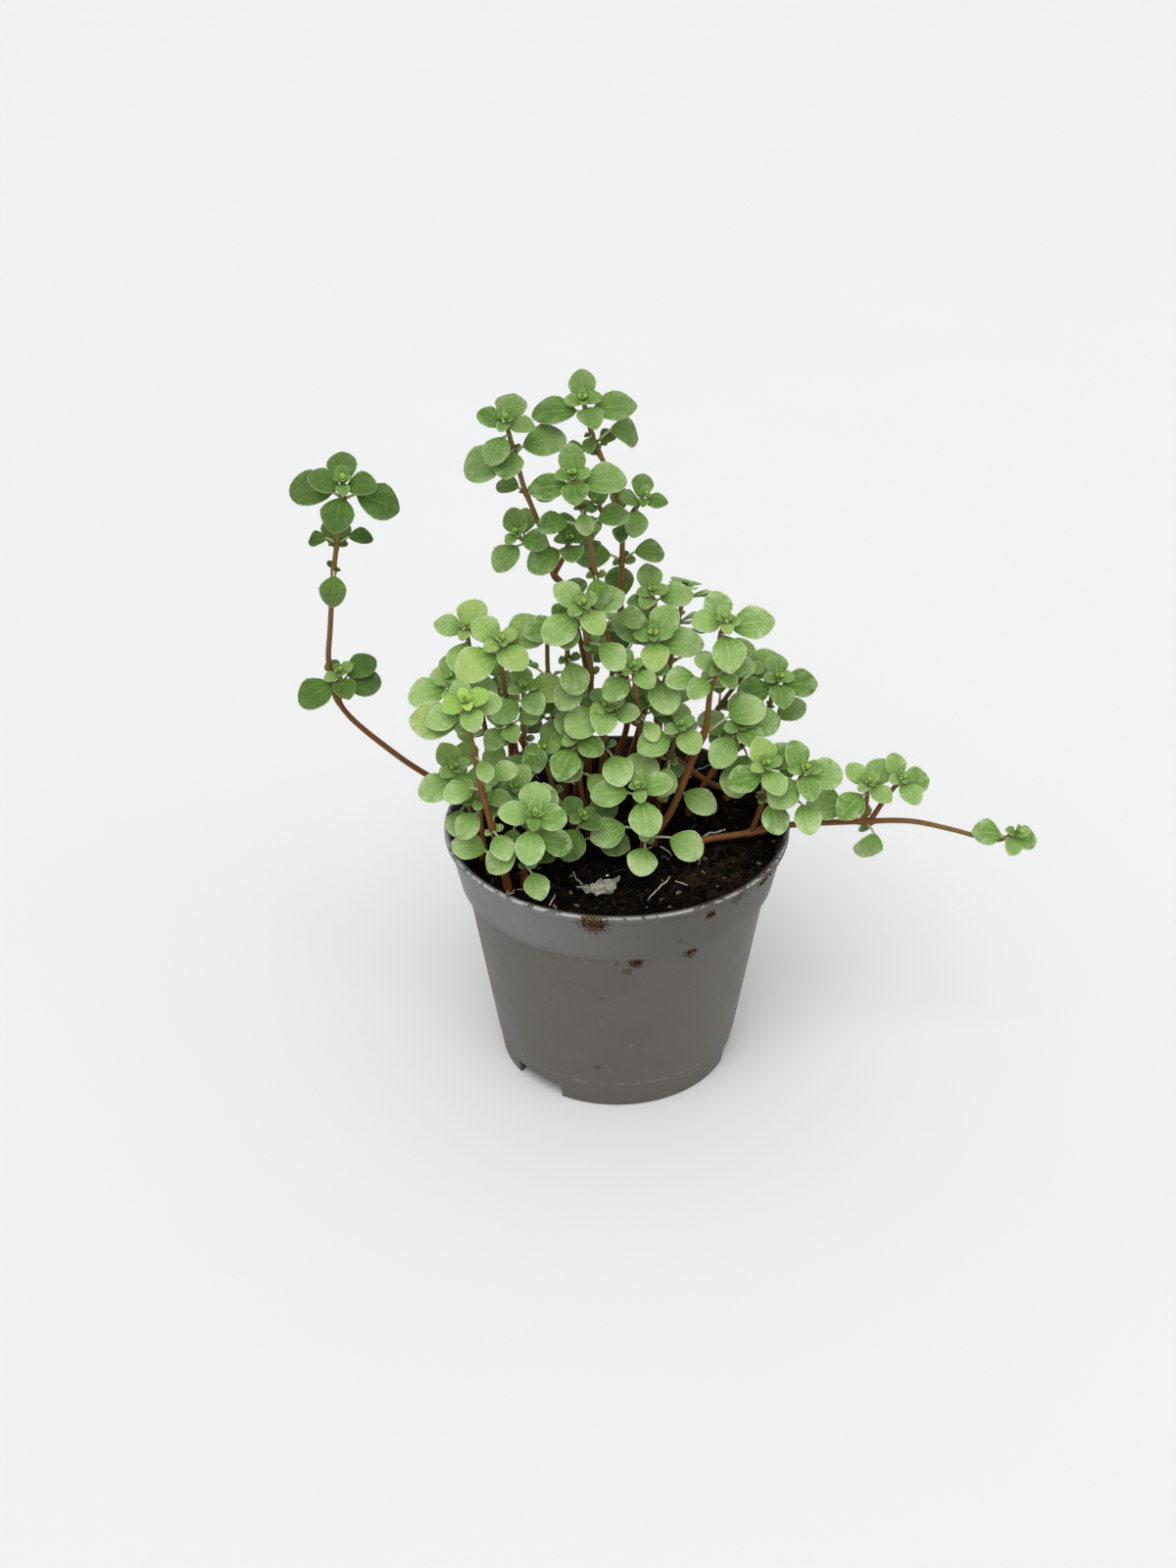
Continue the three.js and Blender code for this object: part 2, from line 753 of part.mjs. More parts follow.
// A leaf: its outline with the petiole, extruded thin, then arched and laid from the stem out along the blade.
function blade(leaf) {
  const { root, neck, along, across, normal, length, width, petiole } = leaf;
  const half = width / 2;
  const left = [
    [0.68 * length, 0.9 * half],
    [0.26 * length, 0.88 * half],
    [0.02 * length, PETIOLE_HALF_WIDTH],
  ];
  const right = left.map(([x, y]) => [x, -y]).reverse();
  const outline = [[-petiole - ROOT_DEPTH, 0], ...right, [length, 0], ...left];
  const shape = new THREE.Shape(outline.map(([x, y]) => new THREE.Vector2(x, y)));
  const geometry = new THREE.ExtrudeGeometry(shape, { depth: BLADE_THICKNESS, bevelEnabled: false });
  geometry.translate(0, 0, -BLADE_THICKNESS / 2);
  const position = geometry.attributes.position;
  const petioleStep = scale(subtract(neck, root), 1 / petiole);
  const petioleNormal = unit(cross(petioleStep, across));
  for (let i = 0; i < position.count; i++) {
    const x = position.getX(i);
    const y = position.getY(i);
    const arch = x > 0 ? 0.05 * length * Math.sin(Math.PI * Math.min(1, (1.25 * x) / length)) : 0;
    const cup = x > 0 ? (0.35 * y * y) / (half * half) : 0;
    const spine = x > 0 ? scale(along, x) : scale(petioleStep, x);
    const lifted = scale(x > 0 ? normal : petioleNormal, position.getZ(i) + arch + cup);
    const point = add(add(neck, spine), add(scale(across, y), lifted));
    position.setXYZ(i, point[0], point[1], point[2]);
  }
  return geometry;
}

// The pot: lip, band and step outside, a raised floor with drain holes, and a foot ring with drain notches.
function potSolid() {
  const profile = [
    [0, FLOOR_UNDERSIDE_Z],
    [BASE_RADIUS - WALL, FLOOR_UNDERSIDE_Z],
    [BASE_RADIUS - WALL, 0],
    [BASE_RADIUS, 0],
    [BODY_TOP_RADIUS, BAND_FOOT_Z],
    [BAND_FOOT_RADIUS, BAND_FOOT_Z],
    [BAND_TOP_RADIUS, POT_HEIGHT - LIP_HEIGHT],
    [RIM_RADIUS, POT_HEIGHT - LIP_HEIGHT],
    [RIM_RADIUS, POT_HEIGHT],
    [RIM_INNER_RADIUS, POT_HEIGHT],
    [BODY_TOP_RADIUS - WALL + 0.8, BAND_FOOT_Z + 1.5],
    [BODY_TOP_RADIUS - WALL, BAND_FOOT_Z - 1],
    [BASE_RADIUS - WALL + 0.7, FLOOR_TOP_Z],
    [0, FLOOR_TOP_Z],
  ];
  let pot = solidOf(turned(profile, POT_SIDES));
  for (const azimuth of NOTCH_AZIMUTHS) {
    const notch = new THREE.BoxGeometry(6, NOTCH_WIDTH, NOTCH_HEIGHT + 1);
    notch.translate(BASE_RADIUS, 0, (NOTCH_HEIGHT - 1) / 2);
    notch.rotateZ(radians(azimuth));
    pot = pot.subtract(solidOf(notch));
  }
  for (let i = 0; i < DRAIN_HOLE_COUNT; i++) {
    const hole = new THREE.CylinderGeometry(DRAIN_HOLE_RADIUS, DRAIN_HOLE_RADIUS, 4, 8);
    hole.rotateX(Math.PI / 2).translate(DRAIN_HOLE_CIRCLE, 0, (FLOOR_UNDERSIDE_Z + FLOOR_TOP_Z) / 2);
    hole.rotateZ((2 * Math.PI * i) / DRAIN_HOLE_COUNT);
    pot = pot.subtract(solidOf(hole));
  }
  return pot;
}

// The soil: it fills the pot, its top follows soilHeight, and each stem stands in a plain hole.
function soilSolid() {
  const foot = BASE_RADIUS - WALL + 0.7 - SOIL_GAP;
  const shoulder = BODY_TOP_RADIUS - WALL - SOIL_GAP;
  const edge = BODY_TOP_RADIUS - WALL + 0.8 - SOIL_GAP;
  const rim = 32.2 - SOIL_GAP;
  const rings = [27, 20, 12, 0];
  const profile = [
    [0, FLOOR_TOP_Z + SOIL_GAP],
    [foot, FLOOR_TOP_Z + SOIL_GAP],
    [shoulder, BAND_FOOT_Z - 1],
    [edge, BAND_FOOT_Z + 1.5],
    [rim, SOIL_LEVEL],
    ...rings.map((radius) => [radius, SOIL_LEVEL]),
  ];
  const geometry = turned(profile, SOIL_SIDES);
  const position = geometry.attributes.position;
  for (let i = 0; i < position.count; i++) {
    const x = position.getX(i);
    const y = position.getY(i);
    if (position.getZ(i) > SOIL_LEVEL - 0.01) position.setZ(i, soilHeight(x, y));
  }
  let soil = solidOf(geometry);
  for (const stem of STEMS) {
    const [x, y] = stem.root;
    const top = soilHeight(x, y);
    const hole = new THREE.CylinderGeometry(stem.radius + HOLE_GAP, stem.radius + HOLE_GAP, BURIED + 4, 6);
    hole.rotateX(Math.PI / 2).translate(x, y, top + 2 - BURIED / 2 - 0.5);
    soil = soil.subtract(solidOf(hole));
  }
  return soil;
}

// A dead leaf on the soil, curled up at its edges.
function dryLeafSolid() {
  const outline = [[-4, -0.8], [-1.5, -2], [1, -1.6], [3.6, -1.9], [4.2, 0.4], [1.8, 1.9], [-0.6, 1.3], [-3, 1.8]];
  const shape = new THREE.Shape(outline.map(([x, y]) => new THREE.Vector2(x, y)));
  const geometry = new THREE.ExtrudeGeometry(shape, { depth: BLADE_THICKNESS, bevelEnabled: false });
  const position = geometry.attributes.position;
  for (let i = 0; i < position.count; i++) {
    const curl = 0.05 * position.getX(i) ** 2 + 0.18 * position.getY(i) ** 2;
    position.setZ(i, position.getZ(i) + curl);
  }
  const [x, y] = [-4, -20.5];
  geometry.rotateZ(radians(12)).translate(x, y, soilHeight(x, y) + 0.4);
  return solidOf(geometry);
}

// ---- The plant ----

const POT_MATERIAL = new THREE.MeshStandardMaterial({ color: 0x65645f, roughness: 0.55, metalness: 0 });
const SOIL_MATERIAL = new THREE.MeshStandardMaterial({ color: 0x2a1d15, roughness: 0.95, metalness: 0 });
const LEAF_MATERIAL = new THREE.MeshStandardMaterial({ color: 0x7fa377, roughness: 0.6, metalness: 0 });
const DRY_MATERIAL = new THREE.MeshStandardMaterial({ color: 0x9a9484, roughness: 0.9, metalness: 0 });

const plant = new THREE.Group();
plant.name = "potted_pilea_plant";
plant.add(meshOf("pot", potSolid(), POT_MATERIAL));
plant.add(meshOf("soil", soilSolid(), SOIL_MATERIAL));
plant.add(meshOf("dry_leaf", dryLeafSolid(), DRY_MATERIAL));

const { branches, leaves } = growPlant();
for (const stem of STEMS) {
  let solid = null;
  const join = (geometry) => {
    const next = solidOf(geometry);
    solid = solid ? solid.add(next) : next;
  };
  branches.filter((branch) => branch.node === stem.name).forEach((branch) => join(tube(branch.line)));
  leaves.filter((leaf) => leaf.node === stem.name).forEach((leaf) => join(blade(leaf)));
  plant.add(meshOf(`stem_${stem.name}`, solid, LEAF_MATERIAL));
}

// The origin moves from the foot of the pot's axis to the bottom centre of the whole box.
const box = new THREE.Box3().setFromObject(plant, true);
plant.position.set(-(box.min.x + box.max.x) / 2, -(box.min.y + box.max.y) / 2, 0);

export default plant;
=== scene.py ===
"""A small-leaved silver pilea in a 7 cm nursery pot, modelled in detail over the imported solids.

Sizes in the lists below are millimetres from the foot of the pot's axis, +Z up, the front facing -Y.
"""

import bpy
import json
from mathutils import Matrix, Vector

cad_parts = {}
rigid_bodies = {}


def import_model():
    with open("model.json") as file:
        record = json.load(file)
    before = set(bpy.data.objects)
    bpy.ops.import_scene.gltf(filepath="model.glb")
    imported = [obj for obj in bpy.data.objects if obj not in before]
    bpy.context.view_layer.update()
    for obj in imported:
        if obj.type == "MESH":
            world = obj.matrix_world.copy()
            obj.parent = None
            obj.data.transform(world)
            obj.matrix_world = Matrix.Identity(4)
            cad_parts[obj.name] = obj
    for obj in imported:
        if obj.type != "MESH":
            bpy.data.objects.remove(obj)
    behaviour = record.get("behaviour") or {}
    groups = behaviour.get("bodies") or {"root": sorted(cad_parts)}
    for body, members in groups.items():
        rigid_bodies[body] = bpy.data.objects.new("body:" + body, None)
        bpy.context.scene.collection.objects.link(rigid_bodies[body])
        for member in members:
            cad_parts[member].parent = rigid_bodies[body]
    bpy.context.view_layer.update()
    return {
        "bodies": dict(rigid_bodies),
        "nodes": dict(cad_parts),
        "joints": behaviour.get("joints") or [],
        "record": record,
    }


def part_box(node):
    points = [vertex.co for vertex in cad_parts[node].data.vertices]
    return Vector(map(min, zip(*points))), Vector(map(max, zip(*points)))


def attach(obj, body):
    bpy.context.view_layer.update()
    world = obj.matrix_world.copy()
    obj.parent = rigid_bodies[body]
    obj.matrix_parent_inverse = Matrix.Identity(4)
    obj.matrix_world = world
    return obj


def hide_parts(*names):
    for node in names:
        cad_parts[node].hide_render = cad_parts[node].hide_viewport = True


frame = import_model()

import copy
import itertools
import json
import math

import bpy
from bpy.props import FloatProperty, FloatVectorProperty, IntProperty, PointerProperty
from mathutils import Matrix, Vector
from mathutils.bvhtree import BVHTree
from mathutils.kdtree import KDTree

bl_info = {
    "name": "Potted pilea plant",
    "version": (1, 0, 0),
    "blender": (4, 5, 0),
    "location": "View3D > Sidebar > Pilea",
    "description": "Models a potted pilea with its pot, soil, stems and leaves",
    "category": "Object",
}

MM = 0.001
FULL_TURN = 6.28

# The pot's axis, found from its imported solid.
POT_LOW, POT_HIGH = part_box("pot")
AXIS_X = (POT_LOW.x + POT_HIGH.x) / 2
AXIS_Y = (POT_LOW.y + POT_HIGH.y) / 2
RIM_RADIUS = (POT_HIGH.x - POT_LOW.x) / 2 / MM
POT_TOP = POT_HIGH.z / MM

# Pot
BAND_TOP_RADIUS = 34.3
BAND_FOOT_RADIUS = 32.2
BAND_FOOT_Z = 42.7
BODY_TOP_RADIUS = 31
BASE_RADIUS = 24.75
LIP_HEIGHT = 1.3
WALL = 1.2
CREASE_Z = 6.2
CREASE_DEPTH = 0.2
FLOOR_UNDERSIDE_Z = 3.9
FLOOR_TOP_Z = 5.1
NOTCH_WIDTH = 12
NOTCH_HEIGHT = 3.7
NOTCH_ROUNDING = 0.9
NOTCH_CUT_LENGTH = 8
NOTCH_AZIMUTHS = (108, 228, 348)
DRAIN_HOLE_RADIUS = 2.5
DRAIN_HOLE_CIRCLE = 13
DRAIN_HOLE_COUNT = 6
DRAIN_HOLE_SIDES = 32
DRAIN_CUT_LENGTH = 4
POT_SIDES = 144
# Soil smeared on the outside: azimuth, height, width, and how thickly it lies.
SMEARS = [(262, 52.9, 4.4, 1.0), (297, 41.6, 2.7, 0.8), (276, 41.0, 2.2, 0.8), (273, 38.8, 1.3, 0.7),
          (269, 40.9, 0.8, 0.6), (301, 51.0, 1.6, 0.8), (312, 52.8, 2.6, 0.7), (326, 52.6, 3.2, 0.9),
          (338, 52.2, 2.8, 0.9), (291, 46.2, 0.6, 0.7), (261, 11.5, 0.9, 0.6), (263, 31.4, 0.5, 0.5),
          (96, 50.5, 2.6, 0.8), (132, 41.0, 2.0, 0.7), (182, 33.0, 0.8, 0.5), (40, 52.4, 3.0, 0.8)]

THICK_SMEAR = 0.75

# Soil
SOIL_LEVEL = 51.2
CLUMP_CENTRE = (24, 13)
CLUMP_HEIGHT = 9
CLUMP_SPREAD = 8.5
CROWN_CENTRE = (0, 4)
CROWN_HEIGHT = 1.6
CROWN_SPREAD = 14
SOIL_RIM_RADIUS = 32.3
SOIL_GRID = 150
DRY_PATCH = (19, -14)
CRUMB_SHAPES = 6
CRUMB_REACH = 31.6
CRUMB_PALEST = 0.62
GRIT_COUNT = 9
GRIT_REACH = 31.4
LIP_CRUMB_COUNT = 150
SMEAR_GRAINS_PER_MM = 11
FIBRE_REACH = 30.5
CLUMP_FIBRE_COUNT = 34
CRUMB_SEED = 4111
FIBRE_SEED = 5077
ROOT_SEED = 6203
STALK_SEED = 71
# Pale roots: where each starts, where it heads, its length and its radius.
ROOTLETS = [((10.1, -16.2), (-0.2, -1), 9.2, 0.17), ((10.9, -18.9), (1, -0.15), 3.4, 0.1),
            ((-20.2, -20.5), (-0.5, -0.6), 3.2, 0.2), ((-21.5, -20.5), (-0.2, -1), 3.8, 0.18),
            ((-20.5, -19.5), (1, -0.5), 3, 0.14), ((-13.4, -25.6), (0.7, 0.8), 3.4, 0.16),
            ((-15, -26.4), (0.9, -0.3), 3.6, 0.15), ((8.6, -6.2), (0.8, -0.6), 3.6, 0.2),
            ((7, -6.6), (-1, -0.7), 2.8, 0.16), ((16, -8), (0.2, -1), 5, 0.14),
            ((22, -2), (-1, -0.3), 9, 0.22), ((14, 12), (1, 0.4), 7, 0.18),
            ((-8, 18), (-0.6, 1), 6, 0.16), ((-2, 23), (0.6, 0.6), 5, 0.14)]

# Dead leaf
DEAD_LEAF_PLACE = (-4, -20.5)
DEAD_LEAF_TURN = 12
DEAD_STALK_FOOT = (-7, -20.2)

# Stems and leaves
BURIED = 6
STEM_TIP_RADIUS = 0.6
STEPS_PER_POINT = 6
BLADE_WIDTH_SHARE = 0.84
LIGHT_REACH = 40
# The room that leaves keep: from the face and past the edge of a leaf to another leaf, to a petiole and to a
# stem, between petioles, and over the soil and the pot's lip.
LEAF_GAP = 1.15
LEAF_MARGIN = 0.35
STALK_GAP = 0.95
STALK_MARGIN = 0.5
STALKS_APART = 1.3
STEM_GAP = 0.75
STEM_MARGIN = 0.45
SOIL_GAP = 1
SOIL_REACH = 33.2
LIP_GAP = 1.4
LIP_INSIDE = 32
LIP_OUTSIDE = 36.8
# Stems are tested at points no further apart than this.
POST_STEP = 1.3
LIGHT_DIRECTION = (0.04, -0.72, 0.72)
BACK_LIGHT_DIRECTION = (0.05, 0.4, 0.92)
LEAF_RULE_SEED = 20731
FOLIAGE_SEED = 9001
# Rosette at a tip: distance back, size share, lift, petiole length for its lower and its upper pair.
ROSETTE = [(2.6, 1, 2, 1.7), (0.9, 0.8, 16, 0.8)]
# A leaf that has no room is tried smaller, lifted or turned, in this order, and left out after the last.
TRIAL_SIZES = (1, 0.86, 0.72, 0.58, 0.46)
TRIAL_LIFTS = (0, 14, -14, 28, -28)
TRIAL_TURNS = (0, 13, -13, 26, -26, 38, -38)

# Each stem: where it enters the soil, the points it passes through, its radius, the length of its leaves,
# the azimuth of its tip rosette, and its leaf pairs as (distance back from the tip, size share).
# A single leaf is (distance back from the tip, azimuth, length, lift, petiole length). Some stems also say
# how much painted shade darkens their leaves and how pale a green they are, each from 0 to 1, and how large
# the buds at their tip are.
STEMS = [
    dict(name="trailing_left", painted_shade=1.0, root=(-24, 8), radius=0.9, leaf=7.8, turn=95,
         path=[(-29, 8, 55.6), (-33.2, 8.5, 56.6), (-38, 8, 60), (-45, 6, 67), (-54, 4, 78),
               (-56, 3, 88), (-55, 2, 97), (-53, 2, 111), (-50.5, 1, 122), (-50, 0, 127)],
         pairs=[(13, 0.62), (18.5, 0.88)],
         singles=[(3.4, -14, 8.4, -16, 3), (3.4, 178, 8, 0, 2.4), (46, 5, 7, 4, 3)],
         shoots=[
             dict(back=47.5, path=[(-54, 3, 83), (-54, 2, 87)], leaf=7.4, turn=35),
         ]),
    dict(name="tall_right", painted_shade=0.75, root=(22.5, 5), radius=0.9, leaf=8, turn=5,
         path=[(18.5, 5.5, 60), (10, 8, 66), (5, 9, 72), (2, 10, 82), (1, 10, 93), (1, 9, 104),
               (1, 8, 115), (-1, 7, 125), (-4, 6, 132), (-6, 5, 140.2)],
         pairs=[(6.5, 0.45), (10.5, 0.56), (25.5, 0.6), (34, 0.9), (45, 0.8), (56, 0.75)],
         singles=[(8.5, 5, 6.8, -40, 4)],
         shoots=[
             dict(back=27, path=[(3, 7.5, 118), (5, 7, 121)], leaf=5.6, turn=80),
             dict(back=26, path=[(-1.5, 6.5, 117), (-3.5, 6, 120)], leaf=5.2, turn=60),
         ]),
    dict(name="tall_centre", painted_shade=0.55, root=(-3, 13), radius=0.95, leaf=7.8, turn=5,
         path=[(-1, 9, 61), (2, 6, 72), (2, 4, 81), (0, 2, 90), (-3, 0, 100), (-4, 0, 108),
               (-5, -1, 115), (-6, -2, 121), (-8, -3, 129)],
         pairs=[(6.5, 0.6), (11, 0.9), (21, 0.75), (32, 0.8), (44, 0.9)],
         shoots=[
             dict(back=56, path=[(4.5, 1, 76), (6, 0, 81)], leaf=6.4, turn=30),
         ]),
    dict(name="tall_left", painted_shade=0.7, root=(-8, 15), radius=0.85, leaf=6.8, turn=70,
         path=[(-5, 10, 71), (-6, 8, 85), (-8, 6, 96), (-10, 5, 104), (-12, 4, 107), (-13, 3, 113),
               (-15, 3, 119), (-17, 2, 125), (-18, 2, 129), (-20, 1, 138)],
         pairs=[(14.5, 0.7), (42, 0.85)],
         singles=[(6.5, 10, 8, 8, 2.2), (6.5, 210, 8.4, -8, 2), (5.5, 265, 7, 6, 1.6)],
         shoots=[
             dict(back=33.5, path=[(-15, 3, 112), (-18.5, 1.5, 116)], leaf=6.8, turn=50),
             dict(back=32.5, path=[(-10, 3, 111), (-9, 1, 115)], leaf=6.8, turn=10),
         ]),
    dict(name="thick_right", pale=0.4, root=(7.4, -5.4), radius=1.1, leaf=7.6, turn=98,
         path=[(11, -5, 60), (15, -4, 71), (17.2, -3.3, 77), (18, -3, 86), (19, -4, 95), (20, -5, 101)],
         pairs=[(14.5, 0.9)],
         singles=[(2.6, 8, 8.4, 10, 2.2), (25.5, 15, 7.6, 12, 6)],
         shoots=[
             dict(back=13, path=[(18.5, -6, 90), (19, -7, 92)], leaf=5.6, turn=40),
         ]),
    dict(name="front_left", buds=1.7, pale=0.7, root=(-21.7, -19.4), radius=1, leaf=6.4, turn=20,
         path=[(-24, -19, 64), (-26, -18, 73), (-27, -18, 81), (-28, -19, 88), (-28, -20, 92)],
         pairs=[(12.5, 0.8), (20, 0.85), (28.5, 0.85)],
         singles=[(6, 178, 9, 6, 2.4), (36, 165, 7, 0, 4), (38, 15, 6.8, 14, 8)]),
    dict(name="front_left_short", root=(-18.3, -18.3), radius=0.85, leaf=7.6, turn=85,
         path=[(-18, -19.5, 60), (-17, -21, 65), (-16, -22, 69)],
         pairs=[(8, 0.95), (13.5, 0.9)]),
    dict(name="left_big_rosette", pale=0.95, root=(-20.3, 3), radius=0.9, leaf=8.6, turn=35,
         path=[(-21, 1, 65), (-21, 0, 72), (-21, -1, 78), (-22, -3, 89), (-22, -5, 97)],
         pairs=[(13, 0.8), (25, 0.8)]),
    dict(name="left_upright", pale=0.9, root=(-25.5, 4.5), radius=0.85, leaf=7.2, turn=80,
         path=[(-26, 4, 62), (-26, 4, 71), (-27, 4, 79), (-28, 4, 87), (-29, 3, 96)],
         pairs=[(14, 0.9)]),
    dict(name="left_low", pale=0.8, root=(-27.5, -1), radius=0.8, leaf=7.4, turn=15,
         path=[(-28, -3, 70), (-30, -3, 80), (-32, -3, 88)],
         pairs=[(12, 0.9)]),
    dict(name="left_edge", pale=0.6, root=(-27, -9), radius=0.8, leaf=7.4, turn=30,
         path=[(-29, -11, 65), (-30, -12, 70), (-31, -13, 74)],
         pairs=[(9, 0.9)]),
    dict(name="left_edge_low", root=(-25.5, -13.5), radius=0.75, leaf=6.4, turn=60,
         path=[(-26.5, -15, 63), (-26, -16, 69)]),
    dict(name="left_inner", painted_shade=0.35, root=(-16, -2), radius=0.85, leaf=7.2, turn=20,
         path=[(-18, -3, 72), (-18, -4, 80), (-18, -5, 87)],
         pairs=[(12, 0.85)],
         shoots=[
             dict(back=14, path=[(-20, -6, 79), (-21.5, -8, 82)], leaf=5.6, turn=50),
         ]),
    dict(name="middle_back", pale=0.3, root=(-11, 9), radius=0.85, leaf=7.6, turn=10,
         path=[(-11, 7, 63), (-11, 4, 73), (-10, 1, 82)],
         pairs=[(11, 0.9)]),
    dict(name="middle_left", painted_shade=0.3, root=(-9, -1.2), radius=0.85, leaf=8.2, turn=5,
         path=[(-12, -3, 61), (-13.5, -5, 69), (-14.5, -6, 74)],
         pairs=[(10, 0.85)]),
    dict(name="middle_front", root=(-5.5, -3), radius=0.85, leaf=7.6, turn=40,
         path=[(-7, -4, 63), (-8, -5, 72), (-8, -6, 77)],
         pairs=[(9, 0.9)]),
    dict(name="middle_low", painted_shade=0.9, root=(-8.2, -7), radius=0.8, leaf=6.8, turn=30,
         path=[(-8, -8, 56), (-7, -9.5, 61)],
         singles=[(7, 200, 7.6, 5, 5), (7.5, 340, 7, 5, 5)]),
    dict(name="left_front_low", painted_shade=0.3, root=(-15.5, -8), radius=0.8, leaf=7, turn=10,
         path=[(-19, -10, 61), (-20, -12, 69)],
         pairs=[(8.5, 0.9)]),
    dict(name="centre_pale", pale=0.7, root=(-1, 4), radius=0.85, leaf=8.4, turn=25,
         path=[(-3, 2, 62), (-2.5, -2, 74), (-2, -5, 83)],
         pairs=[(11, 0.9)]),
    dict(name="centre_low", pale=0.35, root=(5.2, -7.6), radius=0.8, leaf=8.2, turn=100,
         path=[(6.2, -8.6, 58), (5, -9.6, 64), (4, -10.5, 68)],
         singles=[(2.4, 185, 7.4, 4, 3), (12, 200, 7.4, -4, 6), (14, 230, 7, 0, 4),
                  (13.5, 330, 7.2, 2, 5.5)]),
    dict(name="right_centre", pale=0.6, root=(8.5, 3.5), radius=0.85, leaf=7.8, turn=30,
         path=[(9, 1.5, 62), (11, -2, 72), (12, -4, 78)],
         pairs=[(9.5, 0.9)],
         singles=[(20, 290, 7.4, 5, 6)]),
    dict(name="centre_high", pale=0.5, root=(7.5, 9), radius=0.85, leaf=9.2, turn=2,
         path=[(8.5, 6.5, 64), (8, 4, 77), (7.5, 2.5, 87), (7, 1, 95)],
         pairs=[(9, 0.8), (20, 0.75), (30, 0.7)]),
    dict(name="centre_back_high", painted_shade=0.3, root=(1.5, 18), radius=0.85, leaf=7.4, turn=10,
         path=[(5, 15, 68), (7, 11, 86), (7, 8, 101)],
         pairs=[(11, 0.95)]),
    dict(name="centre_small", pale=0.4, root=(4, 4.5), radius=0.75, leaf=6, turn=40,
         path=[(5, 1, 68), (4, -3, 82), (3, -4.5, 91)],
         pairs=[(12, 0.9)]),
    dict(name="centre_bright", pale=0.5, root=(-5.5, 8), radius=0.85, leaf=8, turn=42,
         path=[(-5.5, 4, 71), (-5, 0, 87), (-6, -4.5, 98), (-6.5, -6.5, 105)],
         pairs=[(9, 0.95), (19, 0.95)]),
    dict(name="centre_left_high", painted_shade=0.3, root=(-11, 4), radius=0.85, leaf=7.6, turn=10,
         path=[(-9.5, 2, 70), (-9.5, -1, 87), (-9.5, -2.5, 97), (-9.5, -3.5, 101)],
         pairs=[(9, 0.95), (20, 0.9)]),
    dict(name="right_high", painted_shade=0.5, root=(20.5, 10), radius=0.75, leaf=7.4, turn=5,
         path=[(26, 10, 66), (30, 8, 73), (31, 7, 78), (32, 6, 83)],
         pairs=[(7, 0.6)],
         singles=[(14, 25, 6.6, 10, 5), (15, 200, 7.2, 0, 4), (19, 250, 7.2, 0, 4)]),
    dict(name="right_middle", pale=0.2, root=(15, 3), radius=0.85, leaf=8.2, turn=20,
         path=[(17, 2, 60), (21, 0.5, 69), (24, -2, 77)],
         pairs=[(9.5, 0.9)]),
    dict(name="right_back", root=(13, 10), radius=0.8, leaf=8, turn=5,
         path=[(15.5, 10.5, 64), (21, 10, 75), (26, 8, 84)],
         pairs=[(11, 0.9)]),
    dict(name="runner_right", root=(16.5, -6.6), radius=1, leaf=6.4, turn=2,
         path=[(25.5, -6, 54.6), (34.4, -6, 56.6), (48.5, -5.5, 57), (58.5, -5, 56.7), (67, -5, 54.7),
               (76, -5, 52), (80, -5, 53.6)],
         singles=[(32, 175, 7.8, 8, 5.5), (31.5, 265, 7.6, -62, 3)],
         shoots=[
             dict(back=54.5, path=[(28.2, -8, 62), (29.2, -9, 68), (28.7, -10, 72.5)], leaf=7.8, turn=20,
                  pairs=[(8.5, 0.85)]),
             dict(back=52.5, path=[(31.5, -8, 62.5), (34.8, -9, 67.5), (36, -10, 71.5)], leaf=8.2, turn=8,
                  pairs=[(7, 0.85)]),
             dict(back=32, path=[(49.4, -6, 62), (49.2, -7, 66.5)], leaf=6.8, turn=45),
             dict(back=30.5, path=[(53, -6, 62.5), (55.5, -7, 67.5)], leaf=6.8, turn=15),
         ]),
    dict(name="back_left", root=(-19, 13), radius=0.85, leaf=7.6, turn=20,
         path=[(-21, 16, 63), (-24, 20, 73), (-25, 22, 81)],
         pairs=[(10, 0.9), (19, 0.85)]),
    dict(name="back_left_inner", root=(-12, 20), radius=0.85, leaf=7.6, turn=60,
         path=[(-13, 23, 64), (-14, 26, 75), (-14, 28, 84)],
         pairs=[(11, 0.9), (21, 0.85)]),
    dict(name="back_centre", root=(-2, 24), radius=0.85, leaf=7.6, turn=30,
         path=[(-2, 27, 64), (0, 30, 75), (1, 31, 84)],
         pairs=[(11, 0.9), (21, 0.85)]),
    dict(name="back_right", root=(9, 21), radius=0.85, leaf=7.6, turn=75,
         path=[(10, 24, 68), (12, 27, 78), (13, 28, 86)],
         pairs=[(10, 0.9), (19, 0.85)]),
    dict(name="back_centre_high", root=(8, 15), radius=0.85, leaf=7.6, turn=0,
         path=[(9, 18, 70), (12, 20, 84), (14, 21, 96)],
         pairs=[(11, 0.9), (22, 0.9)]),
]

# A blade is widest at this share of its length.
WIDEST = 0.5
# Kinds of blade: how pointed the tip is, and how wide the blade is at its middle.
LEAF_OUTLINES = [("round_blade", 0.54, 1.06), ("oval_blade", 0.6, 0.96), ("pointed_blade", 0.74, 1.02)]
BUD_OUTLINE = ("bud_blade", 0.58, 1.0)
# The rows of points across a blade, from margin to margin: a leaf's and a bud's.
LEAF_COLUMNS = (-1, -0.93, -0.62, -0.28, 0, 0.28, 0.62, 0.93, 1)
BUD_COLUMNS = (-1, -0.6, 0, 0.6, 1)
LEAF_ROWS = 10
BUD_ROWS = 5
# The pairs of tiny leaves in the heart of a rosette: size share and lift.
BUD_PAIRS = [(0.44, 20), (0.26, 40), (0.17, 58)]
# How far leaves in a tip rosette, and those further down, turn from their stem's direction towards the light.
TIP_WEIGHT = 0.35
SIDE_WEIGHT = 0.15
